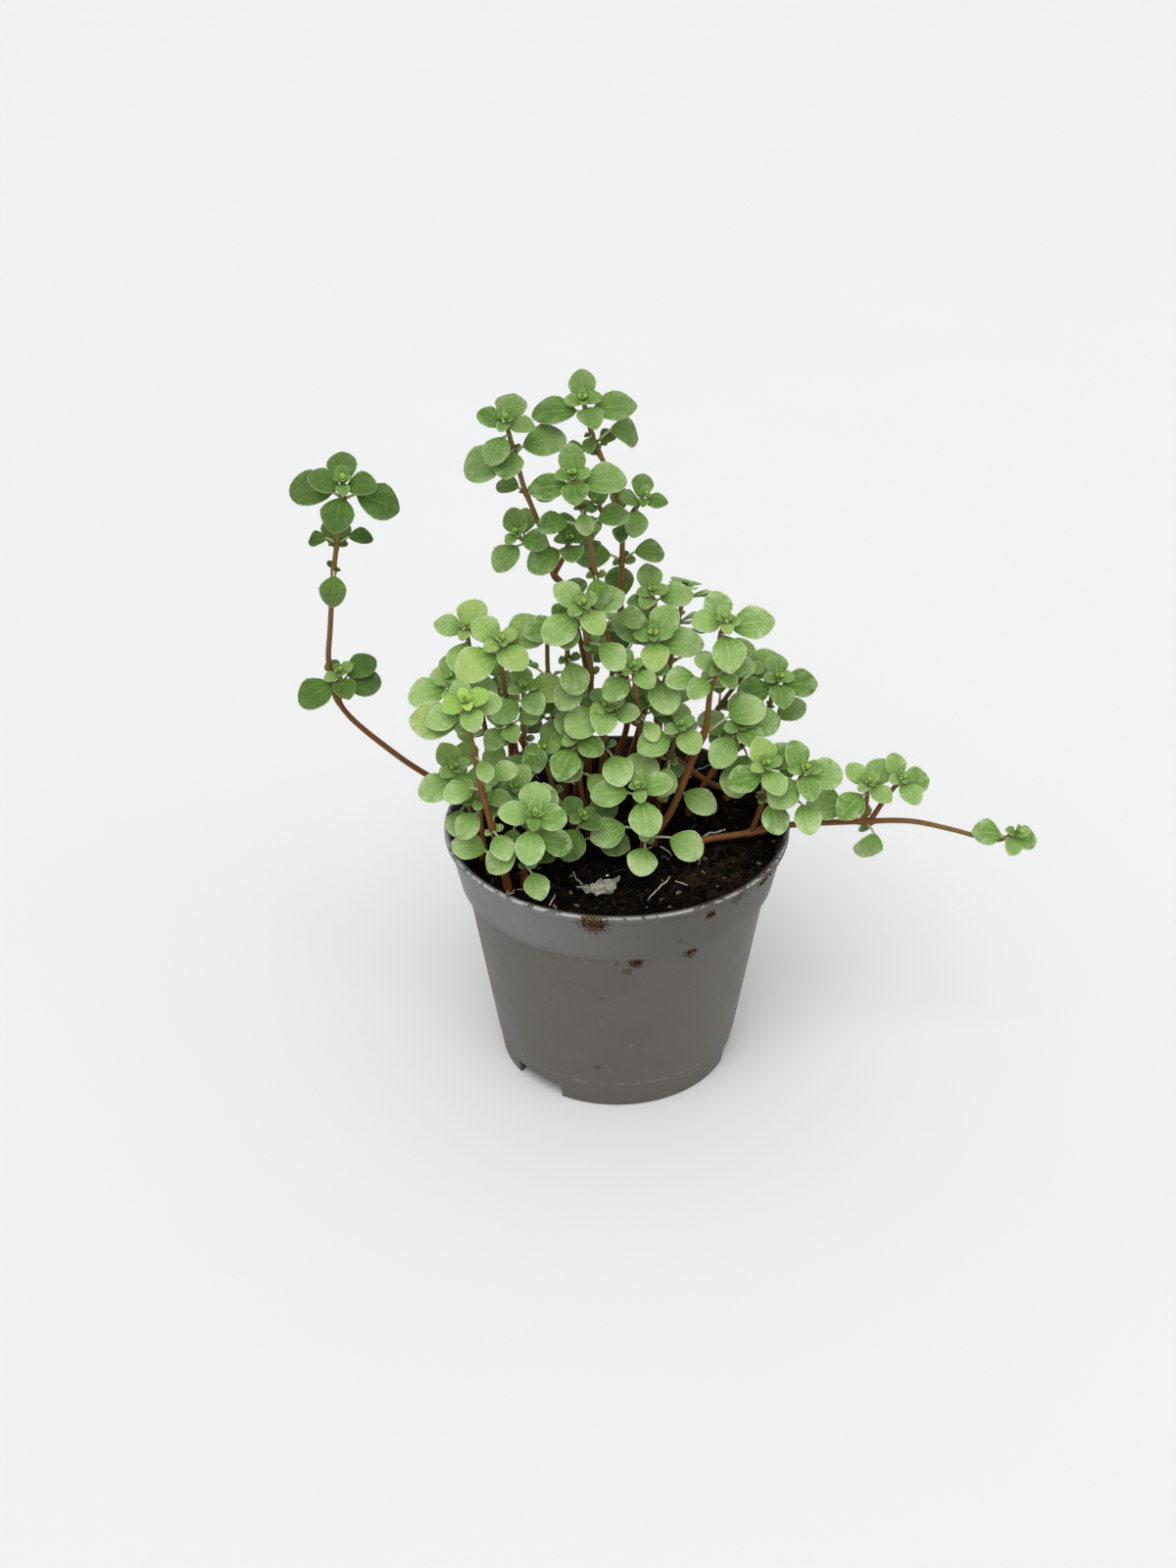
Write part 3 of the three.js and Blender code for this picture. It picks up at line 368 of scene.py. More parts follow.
# The visible wood is this share of the solid stem's radius, and has a ring of points at each step.
STEM_SHARE = 0.8
STEM_STEP = 0.8
STEM_SIDES = 10
PETIOLE_SIDES = 6
# Where a petiole runs on as the blade's midrib: share of the blade's length, share of the petiole's radius.
MIDRIB = [(0.05, 0.8), (0.16, 0.55), (0.34, 0.3)]
# Leaves this far from a tip have young leaves beside their petioles, but for this share of the sides.
AXIL_DISTANCE = 4
AXIL_EMPTY = 0.35

# Camera: the eye from the pot's axis, its pitch below the level and its roll.
CAMERA_PLACE = (-5.76, -303.86, 245.03)
CAMERA_PITCH = 30.937
CAMERA_ROLL = -0.438
CAMERA_LENS = 40.5
SENSOR = 36

# Lights, in metres and degrees. The key light is a sun, turned about X and Y from straight above.
KEY_TURN = (30, -8)
KEY_SPREAD = 45
FILL_PLACE = (0.9, -0.5, 0.6)
FILL_WIDTH = 0.8
PLANT_MIDDLE = (0, 0, 0.07)


# ---- Vectors as tuples, in full precision, so that every leaf finds the same room as on the solids ----


def add(a, b):
    return (a[0] + b[0], a[1] + b[1], a[2] + b[2])


def subtract(a, b):
    return (a[0] - b[0], a[1] - b[1], a[2] - b[2])


def scale(a, k):
    return (a[0] * k, a[1] * k, a[2] * k)


def around(reach, angle):
    """A place at a distance and an angle from the axis."""
    return reach * math.cos(angle), reach * math.sin(angle)


def dot(a, b):
    return a[0] * b[0] + a[1] * b[1] + a[2] * b[2]


def cross(a, b):
    return (a[1] * b[2] - a[2] * b[1], a[2] * b[0] - a[0] * b[2], a[0] * b[1] - a[1] * b[0])


def size(a):
    return math.sqrt(dot(a, a))


def unit(a):
    return scale(a, 1 / size(a))


def seeded_draw(seed):
    """A function whose calls give the same numbers from 0 to 1 on every run."""
    state = seed

    def draw():
        nonlocal state
        state = (state * 16807) % 2147483647
        return (state - 1) / 2147483646

    return draw


def bump(x, y, centre, height, spread):
    squared = (x - centre[0]) ** 2 + (y - centre[1]) ** 2
    return height * math.exp(-squared / (2 * spread**2))


def soil_height(x, y):
    clump = bump(x, y, CLUMP_CENTRE, CLUMP_HEIGHT, CLUMP_SPREAD)
    crown = bump(x, y, CROWN_CENTRE, CROWN_HEIGHT, CROWN_SPREAD)
    return SOIL_LEVEL + clump + crown


# ---- Stem lines: smooth curves through their points, measured back from the tip ----


def smooth_points(points):
    result = []
    for i in range(len(points) - 1):
        b, c = points[i], points[i + 1]
        a = points[i - 1] if i > 0 else subtract(scale(b, 2), c)
        d = points[i + 2] if i + 2 < len(points) else subtract(scale(c, 2), b)
        for step in range(STEPS_PER_POINT):
            t = step / STEPS_PER_POINT
            place = []
            for axis in range(3):
                start = 0.5 * (c[axis] - a[axis])
                end = 0.5 * (d[axis] - b[axis])
                square = -3 * b[axis] + 3 * c[axis] - 2 * start - end
                cube = 2 * b[axis] - 2 * c[axis] + start + end
                place.append(b[axis] + start * t + square * t * t + cube * t * t * t)
            result.append(tuple(place))
    result.append(tuple(points[-1]))
    return result


class StemLine:
    """The line of a stem or a side shoot, from its root to its tip."""

    def __init__(self, node, spec, points, root_radius):
        self.node, self.spec, self.root_radius = node, spec, root_radius
        self.smooth = smooth_points(points)
        self.along = [0.0]
        for before, after in zip(self.smooth, self.smooth[1:]):
            self.along.append(self.along[-1] + size(subtract(after, before)))
        self.length = self.along[-1]

    def radius_at(self, distance):
        return self.root_radius + (STEM_TIP_RADIUS - self.root_radius) * distance / self.length

    def at(self, back):
        """Point, direction and radius at a distance back from the tip."""
        distance = max(0.0, self.length - back)
        i = 0
        while i < len(self.smooth) - 2 and self.along[i + 1] < distance:
            i += 1
        step = subtract(self.smooth[i + 1], self.smooth[i])
        share = (distance - self.along[i]) / (self.along[i + 1] - self.along[i])
        return add(self.smooth[i], scale(step, share)), unit(step), self.radius_at(distance)


# ---- Leaf rule ----


def leaf_frame(axis, weight, node):
    """The plane that leaves on this stem spread in, turned from the stem towards the light."""
    light = BACK_LIGHT_DIRECTION if node.startswith("back_") else LIGHT_DIRECTION
    face = unit(add(scale(axis, weight), unit(light)))
    right = unit(subtract((1, 0, 0), scale(face, face[0])))
    return face, right, cross(face, right)


class Leaf:
    """A leaf as a flat disc with a petiole: enough to test whether it has room."""

    def __init__(self, node, root, axis, frame, azimuth, length, petiole, lift):
        face, right, fore = frame
        a, tilt = math.radians(azimuth), math.radians(lift)
        out = add(scale(right, math.cos(a)), scale(fore, math.sin(a)))
        self.node, self.root, self.axis, self.petiole, self.length = node, root, axis, petiole, length
        self.along = add(scale(out, math.cos(tilt)), scale(face, math.sin(tilt)))
        self.normal = subtract(scale(face, math.cos(tilt)), scale(out, math.sin(tilt)))
        self.across = cross(self.normal, self.along)
        self.neck = add(root, scale(unit(add(scale(out, 0.8), scale(axis, 0.6))), petiole))
        self.width = length * BLADE_WIDTH_SHARE
        self.centre = add(self.neck, scale(self.along, length * 0.5))
        self.probes = [self.centre]
        for count, offset, share in ((12, 0, 0.5), (4, 0.5, 0.25)):
            for i in range(count):
                t = 2 * math.pi * (i + offset) / count
                forward = scale(self.along, share * length * math.cos(t))
                sideways = scale(self.across, share * self.width * math.sin(t))
                self.probes.append(add(self.centre, add(forward, sideways)))
        to_neck = subtract(self.neck, root)
        self.stalk = [add(root, scale(to_neck, k / 4)) for k in (1, 2, 3, 4)]

    def holds(self, point, gap, margin):
        """Whether the point is in the leaf's disc, grown by a gap on its faces and a margin round it."""
        r = subtract(point, self.centre)
        if abs(dot(r, self.normal)) >= gap:
            return False
        x = dot(r, self.along) / (0.5 * self.length + margin)
        y = dot(r, self.across) / (0.5 * self.width + margin)
        return x * x + y * y < 1


def clear_of_pot(leaf):
    for x, y, z in leaf.probes:
        r = math.hypot(x, y)
        if r < SOIL_REACH and z < soil_height(x, y) + SOIL_GAP:
            return False
        if LIP_INSIDE < r < LIP_OUTSIDE and z < POT_TOP + LIP_GAP:
            return False
        if r < LIP_OUTSIDE and z < SOIL_LEVEL:
            return False
    return True


def clear_of_leaf(leaf, other):
    reach = 0.5 * leaf.length + 0.5 * other.length + LEAF_GAP
    if size(subtract(leaf.centre, other.centre)) <= reach:
        if any(other.holds(p, LEAF_GAP, LEAF_MARGIN) for p in leaf.probes):
            return False
        if any(leaf.holds(p, LEAF_GAP, LEAF_MARGIN) for p in other.probes):
            return False
    if size(subtract(leaf.root, other.root)) > 0.01:
        if any(leaf.holds(p, STALK_GAP, STALK_MARGIN) for p in other.stalk):
            return False
        if any(other.holds(p, STALK_GAP, STALK_MARGIN) for p in leaf.stalk[1:]):
            return False
    if leaf.node != other.node:
        return all(size(subtract(p, q)) >= STALKS_APART for p in leaf.stalk for q in other.stalk)
    return True


def clear_of_stems(leaf, posts):
    for node, point, radius in posts:
        own = node == leaf.node
        at_root = own and size(subtract(point, leaf.root)) < 3
        near = size(subtract(point, leaf.centre)) <= 0.5 * leaf.length + radius + 2
        if near and not at_root and leaf.holds(point, radius + STEM_GAP, radius + STEM_MARGIN):
            return False
        if not own and any(size(subtract(p, point)) < radius + STALK_GAP for p in leaf.stalk):
            return False
    return True


def grow_plant():
    """All stem lines and all leaves, each leaf in the first place, size and turn where it has room."""
    draw = seeded_draw(LEAF_RULE_SEED)
    lines, posts, leaves = [], [], []

    def add_line(node, spec, points, radius):
        line = StemLine(node, spec, points, radius)
        lines.append(line)
        for start, end, distance in zip(line.smooth, line.smooth[1:], line.along):
            step = subtract(end, start)
            parts = math.floor(size(step) / POST_STEP) + 1
            for k in range(parts):
                posts.append((node, add(start, scale(step, k / parts)), line.radius_at(distance)))
        return line

    for stem in STEMS:
        x, y = stem["root"]
        z = soil_height(x, y)
        buried = [(x, y, z - BURIED), (x, y, z - 2), (x, y, z + 1)]
        line = add_line(stem["name"], stem, buried + stem["path"], stem["radius"])
        for shoot in stem.get("shoots", ()):
            start, _, radius = line.at(shoot["back"])
            add_line(stem["name"], shoot, [start] + shoot["path"], min(0.75, radius))

    def try_leaf(line, root, axis, frame, azimuth, length, petiole, lift):
        reach = petiole + length + 6
        near_posts = [post for post in posts if size(subtract(post[1], root)) < reach]
        near_leaves = [leaf for leaf in leaves if size(subtract(leaf.root, root)) < reach + 22]
        for share, tilt, turn in itertools.product(TRIAL_SIZES, TRIAL_LIFTS, TRIAL_TURNS):
            leaf = Leaf(line.node, root, axis, frame, azimuth + turn, length * share, petiole, lift + tilt)
            if not clear_of_pot(leaf):
                continue
            if not all(clear_of_leaf(leaf, other) for other in near_leaves):
                continue
            if clear_of_stems(leaf, near_posts):
                leaves.append(leaf)
                return

    for line in lines:
        for back, azimuth, length, lift, petiole in line.spec.get("singles", ()):
            point, axis, _ = line.at(back)
            frame = leaf_frame(axis, SIDE_WEIGHT, line.node)
            try_leaf(line, point, axis, frame, azimuth, length, petiole, lift)

    for line in lines:
        spec = line.spec
        tip_frame = leaf_frame(line.at(0)[1], TIP_WEIGHT, line.node)
        for pair, (back, share, lift, petiole) in enumerate(ROSETTE):
            point, axis, _ = line.at(back)
            for side in (0, 180):
                length = spec["leaf"] * share * (0.88 + 0.16 * draw())
                stalk = petiole * (0.8 + 0.5 * draw())
                azimuth = spec["turn"] + 90 * pair + side
                try_leaf(line, point, axis, tip_frame, azimuth, length, stalk, lift)
        for count, (back, share) in enumerate(spec.get("pairs", ())):
            point, axis, _ = line.at(back)
            frame = leaf_frame(axis, SIDE_WEIGHT, line.node)
            azimuth = spec["turn"] + 90 * (count + 1) + 20 * draw() - 10
            for side in (0, 180):
                length = spec["leaf"] * share * (0.78 + 0.25 * draw())
                petiole = spec["leaf"] * share * (0.35 + 0.3 * draw())
                lift = 40 * draw() - 24
                try_leaf(line, point, axis, frame, azimuth + side, length, petiole, lift)
    return lines, leaves


# ---- Modelling helpers ----


def deselect_all():
    if bpy.context.object and bpy.context.object.mode != "OBJECT":
        bpy.ops.object.mode_set(mode="OBJECT")
    bpy.ops.object.select_all(action="DESELECT")


def select_only(*pieces):
    deselect_all()
    for piece in pieces:
        piece.select_set(True)
    bpy.context.view_layer.objects.active = pieces[0]


def new_piece(name):
    """The object that the last operator made, under its own name."""
    piece = bpy.context.object
    piece.name = name
    piece.data.name = name
    return piece


def apply_modifier(piece, kind, **settings):
    select_only(piece)
    modifier = piece.modifiers.new(kind.title(), kind)
    for key, value in settings.items():
        setattr(modifier, key, value)
    bpy.ops.object.modifier_apply(modifier=modifier.name)


def start_editing(select, kind="VERT"):
    """Opens the active piece's mesh to edit points or edges, with all or none of them selected."""
    bpy.ops.object.mode_set(mode="EDIT")
    bpy.ops.mesh.select_mode(type=kind)
    bpy.ops.mesh.select_all(action=select)


def stop_editing():
    bpy.ops.mesh.select_mode(type="VERT")
    bpy.ops.object.mode_set(mode="OBJECT")


def tidy_mesh(piece, distance=1e-6):
    """Merges doubled points and turns the faces outwards."""
    select_only(piece)
    start_editing("SELECT")
    bpy.ops.mesh.remove_doubles(threshold=distance)
    bpy.ops.mesh.normals_make_consistent(inside=False)
    stop_editing()


def move_to_axis(piece):
    """Moves a mesh made round the pot's axis, in metres, to the pot's place in the frame."""
    piece.data.transform(Matrix.Translation((AXIS_X, AXIS_Y, 0)))


def place_of(point):
    """A point of the lists, in millimetres from the pot's axis, as metres in the frame."""
    return Vector((point[0] * MM + AXIS_X, point[1] * MM + AXIS_Y, point[2] * MM))


def set_values(piece, name, values):
    """Writes one number per point, which a material reads by its name."""
    attribute = piece.data.attributes.get(name) or piece.data.attributes.new(name, "FLOAT", "POINT")
    attribute.data.foreach_set("value", values)


def join_pieces(name, pieces):
    select_only(*pieces)
    bpy.ops.object.join()
    return new_piece(name)


def link_object(name, data):
    """A new object in the scene that shows this data."""
    new = bpy.data.objects.new(name, data)
    bpy.context.collection.objects.link(new)
    return new


def copy_piece(piece):
    """A copy with its own mesh."""
    twin = piece.copy()
    twin.data = piece.data.copy()
    bpy.context.collection.objects.link(twin)
    return twin


def delete_pieces(pieces):
    select_only(*pieces)
    bpy.ops.object.delete()


def add_tubes(name, tubes, sides, material):
    """Round tubes as one mesh. Each tube is a list of (point, radius, share along it) in millimetres.

    The attribute "along" holds the share, 0 at the tube's root and 1 at its tip.
    """
    deselect_all()
    curve = bpy.data.curves.new(name, "CURVE")
    curve.dimensions = "3D"
    curve.bevel_depth = MM
    curve.bevel_resolution = (sides - 4) // 2
    curve.use_fill_caps = True
    stops = [stop for tube in tubes for stop in tube]
    tree = KDTree(len(stops))
    for i, (point, _, _) in enumerate(stops):
        tree.insert(place_of(point), i)
    tree.balance()
    for tube in tubes:
        spline = curve.splines.new("POLY")
        spline.points.add(len(tube) - 1)
        for control, (point, radius, _) in zip(spline.points, tube):
            control.co = (*place_of(point), 1)
            control.radius = radius
    select_only(link_object(name, curve))
    bpy.ops.object.convert(target="MESH")
    piece = new_piece(name)
    tidy_mesh(piece, 1e-7)
    set_values(piece, "along", [stops[tree.find(v.co)[1]][2] for v in piece.data.vertices])
    piece.data.materials.clear()
    piece.data.materials.append(material)
    bpy.ops.object.shade_smooth()
    return piece


# ---- Pot ----


def add_pot_shell():
    """The pot's wall, drawn up from its foot ring by ring, over the lip and down to its floor."""
    crease_radius = BASE_RADIUS + (BODY_TOP_RADIUS - BASE_RADIUS) * CREASE_Z / BAND_FOOT_Z
    outside = [
        (BASE_RADIUS - 0.35, 0),
        (BASE_RADIUS - 0.08, 0.3),
        (crease_radius - CREASE_DEPTH, CREASE_Z - 0.25),
        (crease_radius, CREASE_Z + 0.1),
        (BODY_TOP_RADIUS, BAND_FOOT_Z - 0.3),
        (BODY_TOP_RADIUS + 0.25, BAND_FOOT_Z),
        (BAND_FOOT_RADIUS - 0.25, BAND_FOOT_Z + 0.02),
        (BAND_FOOT_RADIUS, BAND_FOOT_Z + 0.35),
        (BAND_TOP_RADIUS - 0.1, POT_TOP - LIP_HEIGHT - 0.3),
        (BAND_TOP_RADIUS + 0.05, POT_TOP - LIP_HEIGHT),
        (RIM_RADIUS - 0.15, POT_TOP - LIP_HEIGHT + 0.05),
        (RIM_RADIUS, POT_TOP - LIP_HEIGHT + 0.25),
        (RIM_RADIUS, POT_TOP - 0.3),
        (RIM_RADIUS - 0.3, POT_TOP),
        (RIM_RADIUS - LIP_HEIGHT + 0.25, POT_TOP),
        (RIM_RADIUS - LIP_HEIGHT, POT_TOP - 0.25),
    ]
    inside = [
        (BODY_TOP_RADIUS - WALL + 0.8, BAND_FOOT_Z + 1.5),
        (BODY_TOP_RADIUS - WALL, BAND_FOOT_Z - 1),
        (BASE_RADIUS - WALL + 0.7, FLOOR_TOP_Z),
    ]
    start_radius, start_z = BASE_RADIUS - WALL, FLOOR_UNDERSIDE_Z
    deselect_all()
    bpy.ops.mesh.primitive_circle_add(vertices=POT_SIDES, radius=start_radius * MM, fill_type="NGON",
                                      location=(0, 0, start_z * MM))
    piece = new_piece("nursery_pot")
    bpy.ops.object.transform_apply(location=True, rotation=False, scale=False)
    start_editing("SELECT")
    foot = [(start_radius, 0.35), (start_radius + 0.3, 0)]
    draw_rings(foot + outside + inside, start_radius, start_z)
    stop_editing()
    close_underside(piece)
    return piece


def draw_rings(rings, radius, z):
    """Draws a selected round edge, at a radius and height, out through rings of other radii and heights."""
    for next_radius, next_z in rings:
        bpy.ops.mesh.extrude_region_move(TRANSFORM_OT_translate={"value": (0, 0, (next_z - z) * MM)})
        share = next_radius / radius
        bpy.ops.transform.resize(value=(share, share, 1), center_override=(0, 0, next_z * MM))
        radius, z = next_radius, next_z


def close_underside(piece):
    """Closes the pot's raised floor from below, where its wall was started."""
    select_only(piece)
    start_editing("DESELECT", "EDGE")
    bpy.ops.mesh.select_non_manifold()
    bpy.ops.mesh.edge_face_add()
    stop_editing()
    tidy_mesh(piece)


def cut_away(piece, cutter):
    """Takes the cutter's shape out of the piece."""
    apply_modifier(piece, "BOOLEAN", operation="DIFFERENCE", solver="EXACT", object=cutter)
    delete_pieces([cutter])


def add_notch_cutter(azimuth):
    """A block with rounded upper corners, standing through the foot ring."""
    deselect_all()
    bpy.ops.mesh.primitive_cube_add(size=1)
    cutter = new_piece("notch_cutter")
    bpy.ops.transform.resize(value=(NOTCH_CUT_LENGTH * MM, NOTCH_WIDTH * MM, NOTCH_HEIGHT * 2 * MM))
    bpy.ops.object.transform_apply(location=False, rotation=False, scale=True)
    start_editing("DESELECT", "EDGE")
    bpy.ops.object.mode_set(mode="OBJECT")
    for edge in cutter.data.edges:
        a, b = (cutter.data.vertices[i].co for i in edge.vertices)
        along_x = abs(a.y - b.y) < 1e-6 and abs(a.z - b.z) < 1e-6
        edge.select = along_x and a.z > 0
    bpy.ops.object.mode_set(mode="EDIT")
    bpy.ops.mesh.bevel(offset=NOTCH_ROUNDING * MM, segments=4)
    stop_editing()
    turn = Matrix.Rotation(math.radians(azimuth), 4, "Z")
    cutter.data.transform(turn @ Matrix.Translation(((BASE_RADIUS - 1) * MM, 0, 0)))
    return cutter


def add_drain_cutter(number):
    x, y = around(DRAIN_HOLE_CIRCLE, 2 * math.pi * number / DRAIN_HOLE_COUNT)
    middle = (FLOOR_UNDERSIDE_Z + FLOOR_TOP_Z) / 2
    deselect_all()
    bpy.ops.mesh.primitive_cylinder_add(vertices=DRAIN_HOLE_SIDES, radius=DRAIN_HOLE_RADIUS * MM,
                                        depth=DRAIN_CUT_LENGTH * MM, location=(x * MM, y * MM, middle * MM))
    return new_piece("drain_cutter")


def add_pot(settings):
    pot = add_pot_shell()
    for azimuth in NOTCH_AZIMUTHS:
        cut_away(pot, add_notch_cutter(azimuth))
    for number in range(DRAIN_HOLE_COUNT):
        cut_away(pot, add_drain_cutter(number))
    select_only(pot)
    bpy.ops.object.shade_smooth_by_angle(angle=math.radians(50))
    inside = [float(math.hypot(v.co.x, v.co.y) < (wall_radius(v.co.z / MM) - 0.6 * WALL) * MM)
              for v in pot.data.vertices]
    set_values(pot, "inside", inside)
    move_to_axis(pot)
    pot.data.materials.append(plastic_material(settings))
    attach(pot, "root")
    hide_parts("pot")


# ---- Soil ----


def disc_point(x, y):
    """A square grid's point, each side from -1 to 1, moved onto a round disc."""
    return x * math.sqrt(1 - y * y / 2), y * math.sqrt(1 - x * x / 2)


def roughen(piece, name, grain, depth, **how):
    """Pushes a piece's points in and out by clouds of this grain and depth, in millimetres."""
    texture = bpy.data.textures.new(name, "CLOUDS")
    texture.noise_scale = grain * MM
    texture.noise_depth = 3
    texture.noise_type = "HARD_NOISE"
    apply_modifier(piece, "DISPLACE", texture=texture, strength=depth * MM, texture_coords="LOCAL", **how)


def add_soil_bed(settings):
    """The peat that fills the pot: a round sheet, lumpy on top, whose edge is drawn down to the floor."""
    deselect_all()
    bpy.ops.mesh.primitive_grid_add(x_subdivisions=SOIL_GRID, y_subdivisions=SOIL_GRID, size=2)
    piece = new_piece("potting_soil")
    for vertex in piece.data.vertices:
        x, y = disc_point(vertex.co.x, vertex.co.y)
        reach = math.hypot(x, y)
        x, y = x * SOIL_RIM_RADIUS, y * SOIL_RIM_RADIUS
        sunk = 1.1 * max(0.0, (reach - 0.93) / 0.07) ** 2
        vertex.co = (x * MM, y * MM, (soil_height(x, y) - sunk) * MM)
    inner_radius = 0.985 * SOIL_RIM_RADIUS * MM
    inner = [v.index for v in piece.data.vertices if math.hypot(v.co.x, v.co.y) < inner_radius]
    piece.vertex_groups.new(name="top").add(inner, 1, "REPLACE")
    for name, grain, depth in (("lumps", 5.5, 1.7), ("crumbs", 1.7, 1.1), ("grit", 0.7, 0.45)):
        roughen(piece, name, grain, depth, mid_level=0.45, direction="NORMAL", vertex_group="top")
    select_only(piece)
    start_editing("SELECT", "EDGE")
    bpy.ops.mesh.region_to_loop()
    wall = [(30.3, BAND_FOOT_Z + 1.5), (29.4, BAND_FOOT_Z - 1), (23.9, FLOOR_TOP_Z + 0.3)]
    draw_rings(wall, SOIL_RIM_RADIUS, SOIL_LEVEL)
    bpy.ops.mesh.edge_face_add()
    stop_editing()
    tidy_mesh(piece)
    bpy.ops.object.shade_smooth_by_angle(angle=math.radians(60))
    move_to_axis(piece)
    piece.data.materials.append(peat_material(settings))
    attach(piece, "root")
    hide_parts("soil")
    return piece


def soil_top(surface, x, y):
    """The height of the lumpy soil at a place, in millimetres. The surface is the soil's search tree."""
    place = surface.ray_cast(place_of((x, y, 90)), Vector((0, 0, -1)))[0]
    return place.z / MM if place else soil_height(x, y)


def add_crumb_shape(draw, roughness):
    """A grain of peat: a small ball pushed out of shape."""
    deselect_all()
    bpy.ops.mesh.primitive_ico_sphere_add(subdivisions=1, radius=0.5)
    crumb = new_piece("crumb")
    stretch = (0.7 + 0.6 * draw(), 0.6 + 0.5 * draw(), 0.5 + 0.4 * draw())
    for vertex in crumb.data.vertices:
        push = 1 + roughness * (draw() - 0.5)
        vertex.co = [push * s * c for s, c in zip(stretch, vertex.co)]
    return crumb


def add_crumbs(surface, settings):
    """Loose grains, each with its own shade: on the soil, inside the lip and in the thickest smears."""
    draw = seeded_draw(CRUMB_SEED)
    shapes = [add_crumb_shape(draw, 0.7) for _ in range(CRUMB_SHAPES)]
    grains = []

    def drop(point, grain, shade):
        turn = Matrix.Rotation(FULL_TURN * draw(), 4, "Z") @ Matrix.Rotation(FULL_TURN * draw(), 4, "X")
        matrix = Matrix.Translation(place_of(point)) @ turn @ Matrix.Scale(grain * MM, 4)
        crumb = copy_piece(shapes[int(len(shapes) * draw() * 0.999)])
        crumb.data.transform(matrix)
        set_values(crumb, "shade", [shade] * len(crumb.data.vertices))
        grains.append(crumb)

    for _ in range(settings.crumbs):
        x, y = around(CRUMB_REACH * math.sqrt(draw()), 2 * math.pi * draw())
        grain = 0.5 + 1.7 * draw() ** 3
        shade = draw() ** 5
        drop((x, y, soil_top(surface, x, y) + 0.1 * grain), grain, min(shade, CRUMB_PALEST))
    for _ in range(GRIT_COUNT):
        x, y = around(GRIT_REACH * math.sqrt(draw()), 2 * math.pi * draw())
        drop((x, y, soil_top(surface, x, y) + 0.15), 0.4 + 0.5 * draw(), 1)
    for azimuth, z, width, depth in SMEARS:
        if depth < THICK_SMEAR:
            continue
        for _ in range(int(SMEAR_GRAINS_PER_MM * width)):
            angle = math.radians(azimuth + 1.1 * width * (draw() - 0.5) * 1.6)
            height = min(POT_TOP - 0.3, z + 0.55 * width * (draw() - 0.5))
            x, y = around(wall_radius(height) + 0.05, angle)
            drop((x, y, height), 0.2 + 0.45 * draw(), 0.5 + 0.3 * draw())
    for _ in range(LIP_CRUMB_COUNT):
        angle = math.radians(-95 + 190 * draw() ** 0.8)
        x, y = around(BODY_TOP_RADIUS + 2.2 + 0.6 * draw(), angle)
        drop((x, y, 52.5 + 1.9 * draw()), 0.3 + 0.7 * draw(), 0.5 * draw())
    crumbs = join_pieces("soil_crumbs", grains)
    delete_pieces(shapes)
    crumbs.data.materials.clear()
    crumbs.data.materials.append(crumb_material(settings))
    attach(crumbs, "root")


def wall_radius(z):
    """The pot's outer radius at a height."""
    if z > POT_TOP - LIP_HEIGHT:
        return RIM_RADIUS
    if z > BAND_FOOT_Z:
        share = (z - BAND_FOOT_Z) / (POT_TOP - LIP_HEIGHT - BAND_FOOT_Z)
        return BAND_FOOT_RADIUS + (BAND_TOP_RADIUS - BAND_FOOT_RADIUS) * share
    return BASE_RADIUS + (BODY_TOP_RADIUS - BASE_RADIUS) * z / BAND_FOOT_Z


def wavering_tube(draw, start, heading, length, radius, bend, keep_height=None):
    """A thin root or fibre that wanders off from its start."""
    steps = 8
    tube, point, direction = [], start, unit(heading)
    for i in range(steps + 1):
        share = i / steps
        height = keep_height(point[0], point[1]) if keep_height else point[2]
        tube.append(((point[0], point[1], height), radius * (1 - 0.75 * share**2), share))
        turn = [bend * (draw() - 0.5) for _ in range(3)]
        direction = unit(add(direction, turn))
        point = add(point, scale(direction, length / steps))
    return tube


def add_fibres(surface, settings):
    """Brown peat fibres on the soil, with some that stick out of the clump at the back right."""
    draw = seeded_draw(FIBRE_SEED)
    tubes = []
    for _ in range(settings.fibres):
        x, y = around(FIBRE_REACH * math.sqrt(draw()), 2 * math.pi * draw())
        start = (x, y, soil_top(surface, x, y) + 0.25)
        heading = (*around(1, 2 * math.pi * draw()), 0.25 * draw() - 0.05)
        length, radius = 1.5 + 4 * draw() ** 2, 0.05 + 0.09 * draw()
        tubes.append(wavering_tube(draw, start, heading, length, radius, 0.5))
    for _ in range(CLUMP_FIBRE_COUNT):
        angle = math.radians(-12 + 84 * draw())
        x, y = around(30.8 + 2 * draw(), angle)
        start = (x, y, soil_top(surface, min(x, FIBRE_REACH), y) - 0.3 + 1.2 * draw())
        heading = (*around(1, angle), 0.5 - draw())
        length, radius = 2 + 3 * draw(), 0.07 + 0.06 * draw()
        tubes.append(wavering_tube(draw, start, heading, length, radius, 0.9))
    fibres = add_tubes("peat_fibres", tubes, 4, fibre_material(settings))
    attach(fibres, "root")


def add_rootlets(surface):
    """Pale roots that lie on the soil or stand at a stem's foot."""
    draw = seeded_draw(ROOT_SEED)

    def height_at(x, y):
        return soil_top(surface, x, y) + 0.25

    tubes = [wavering_tube(draw, (*start, 0), (*heading, 0), length, radius, 0.35, height_at)
             for start, heading, length, radius in ROOTLETS]
    rootlets = add_tubes("pale_rootlets", tubes, 6, rootlet_material())
    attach(rootlets, "root")


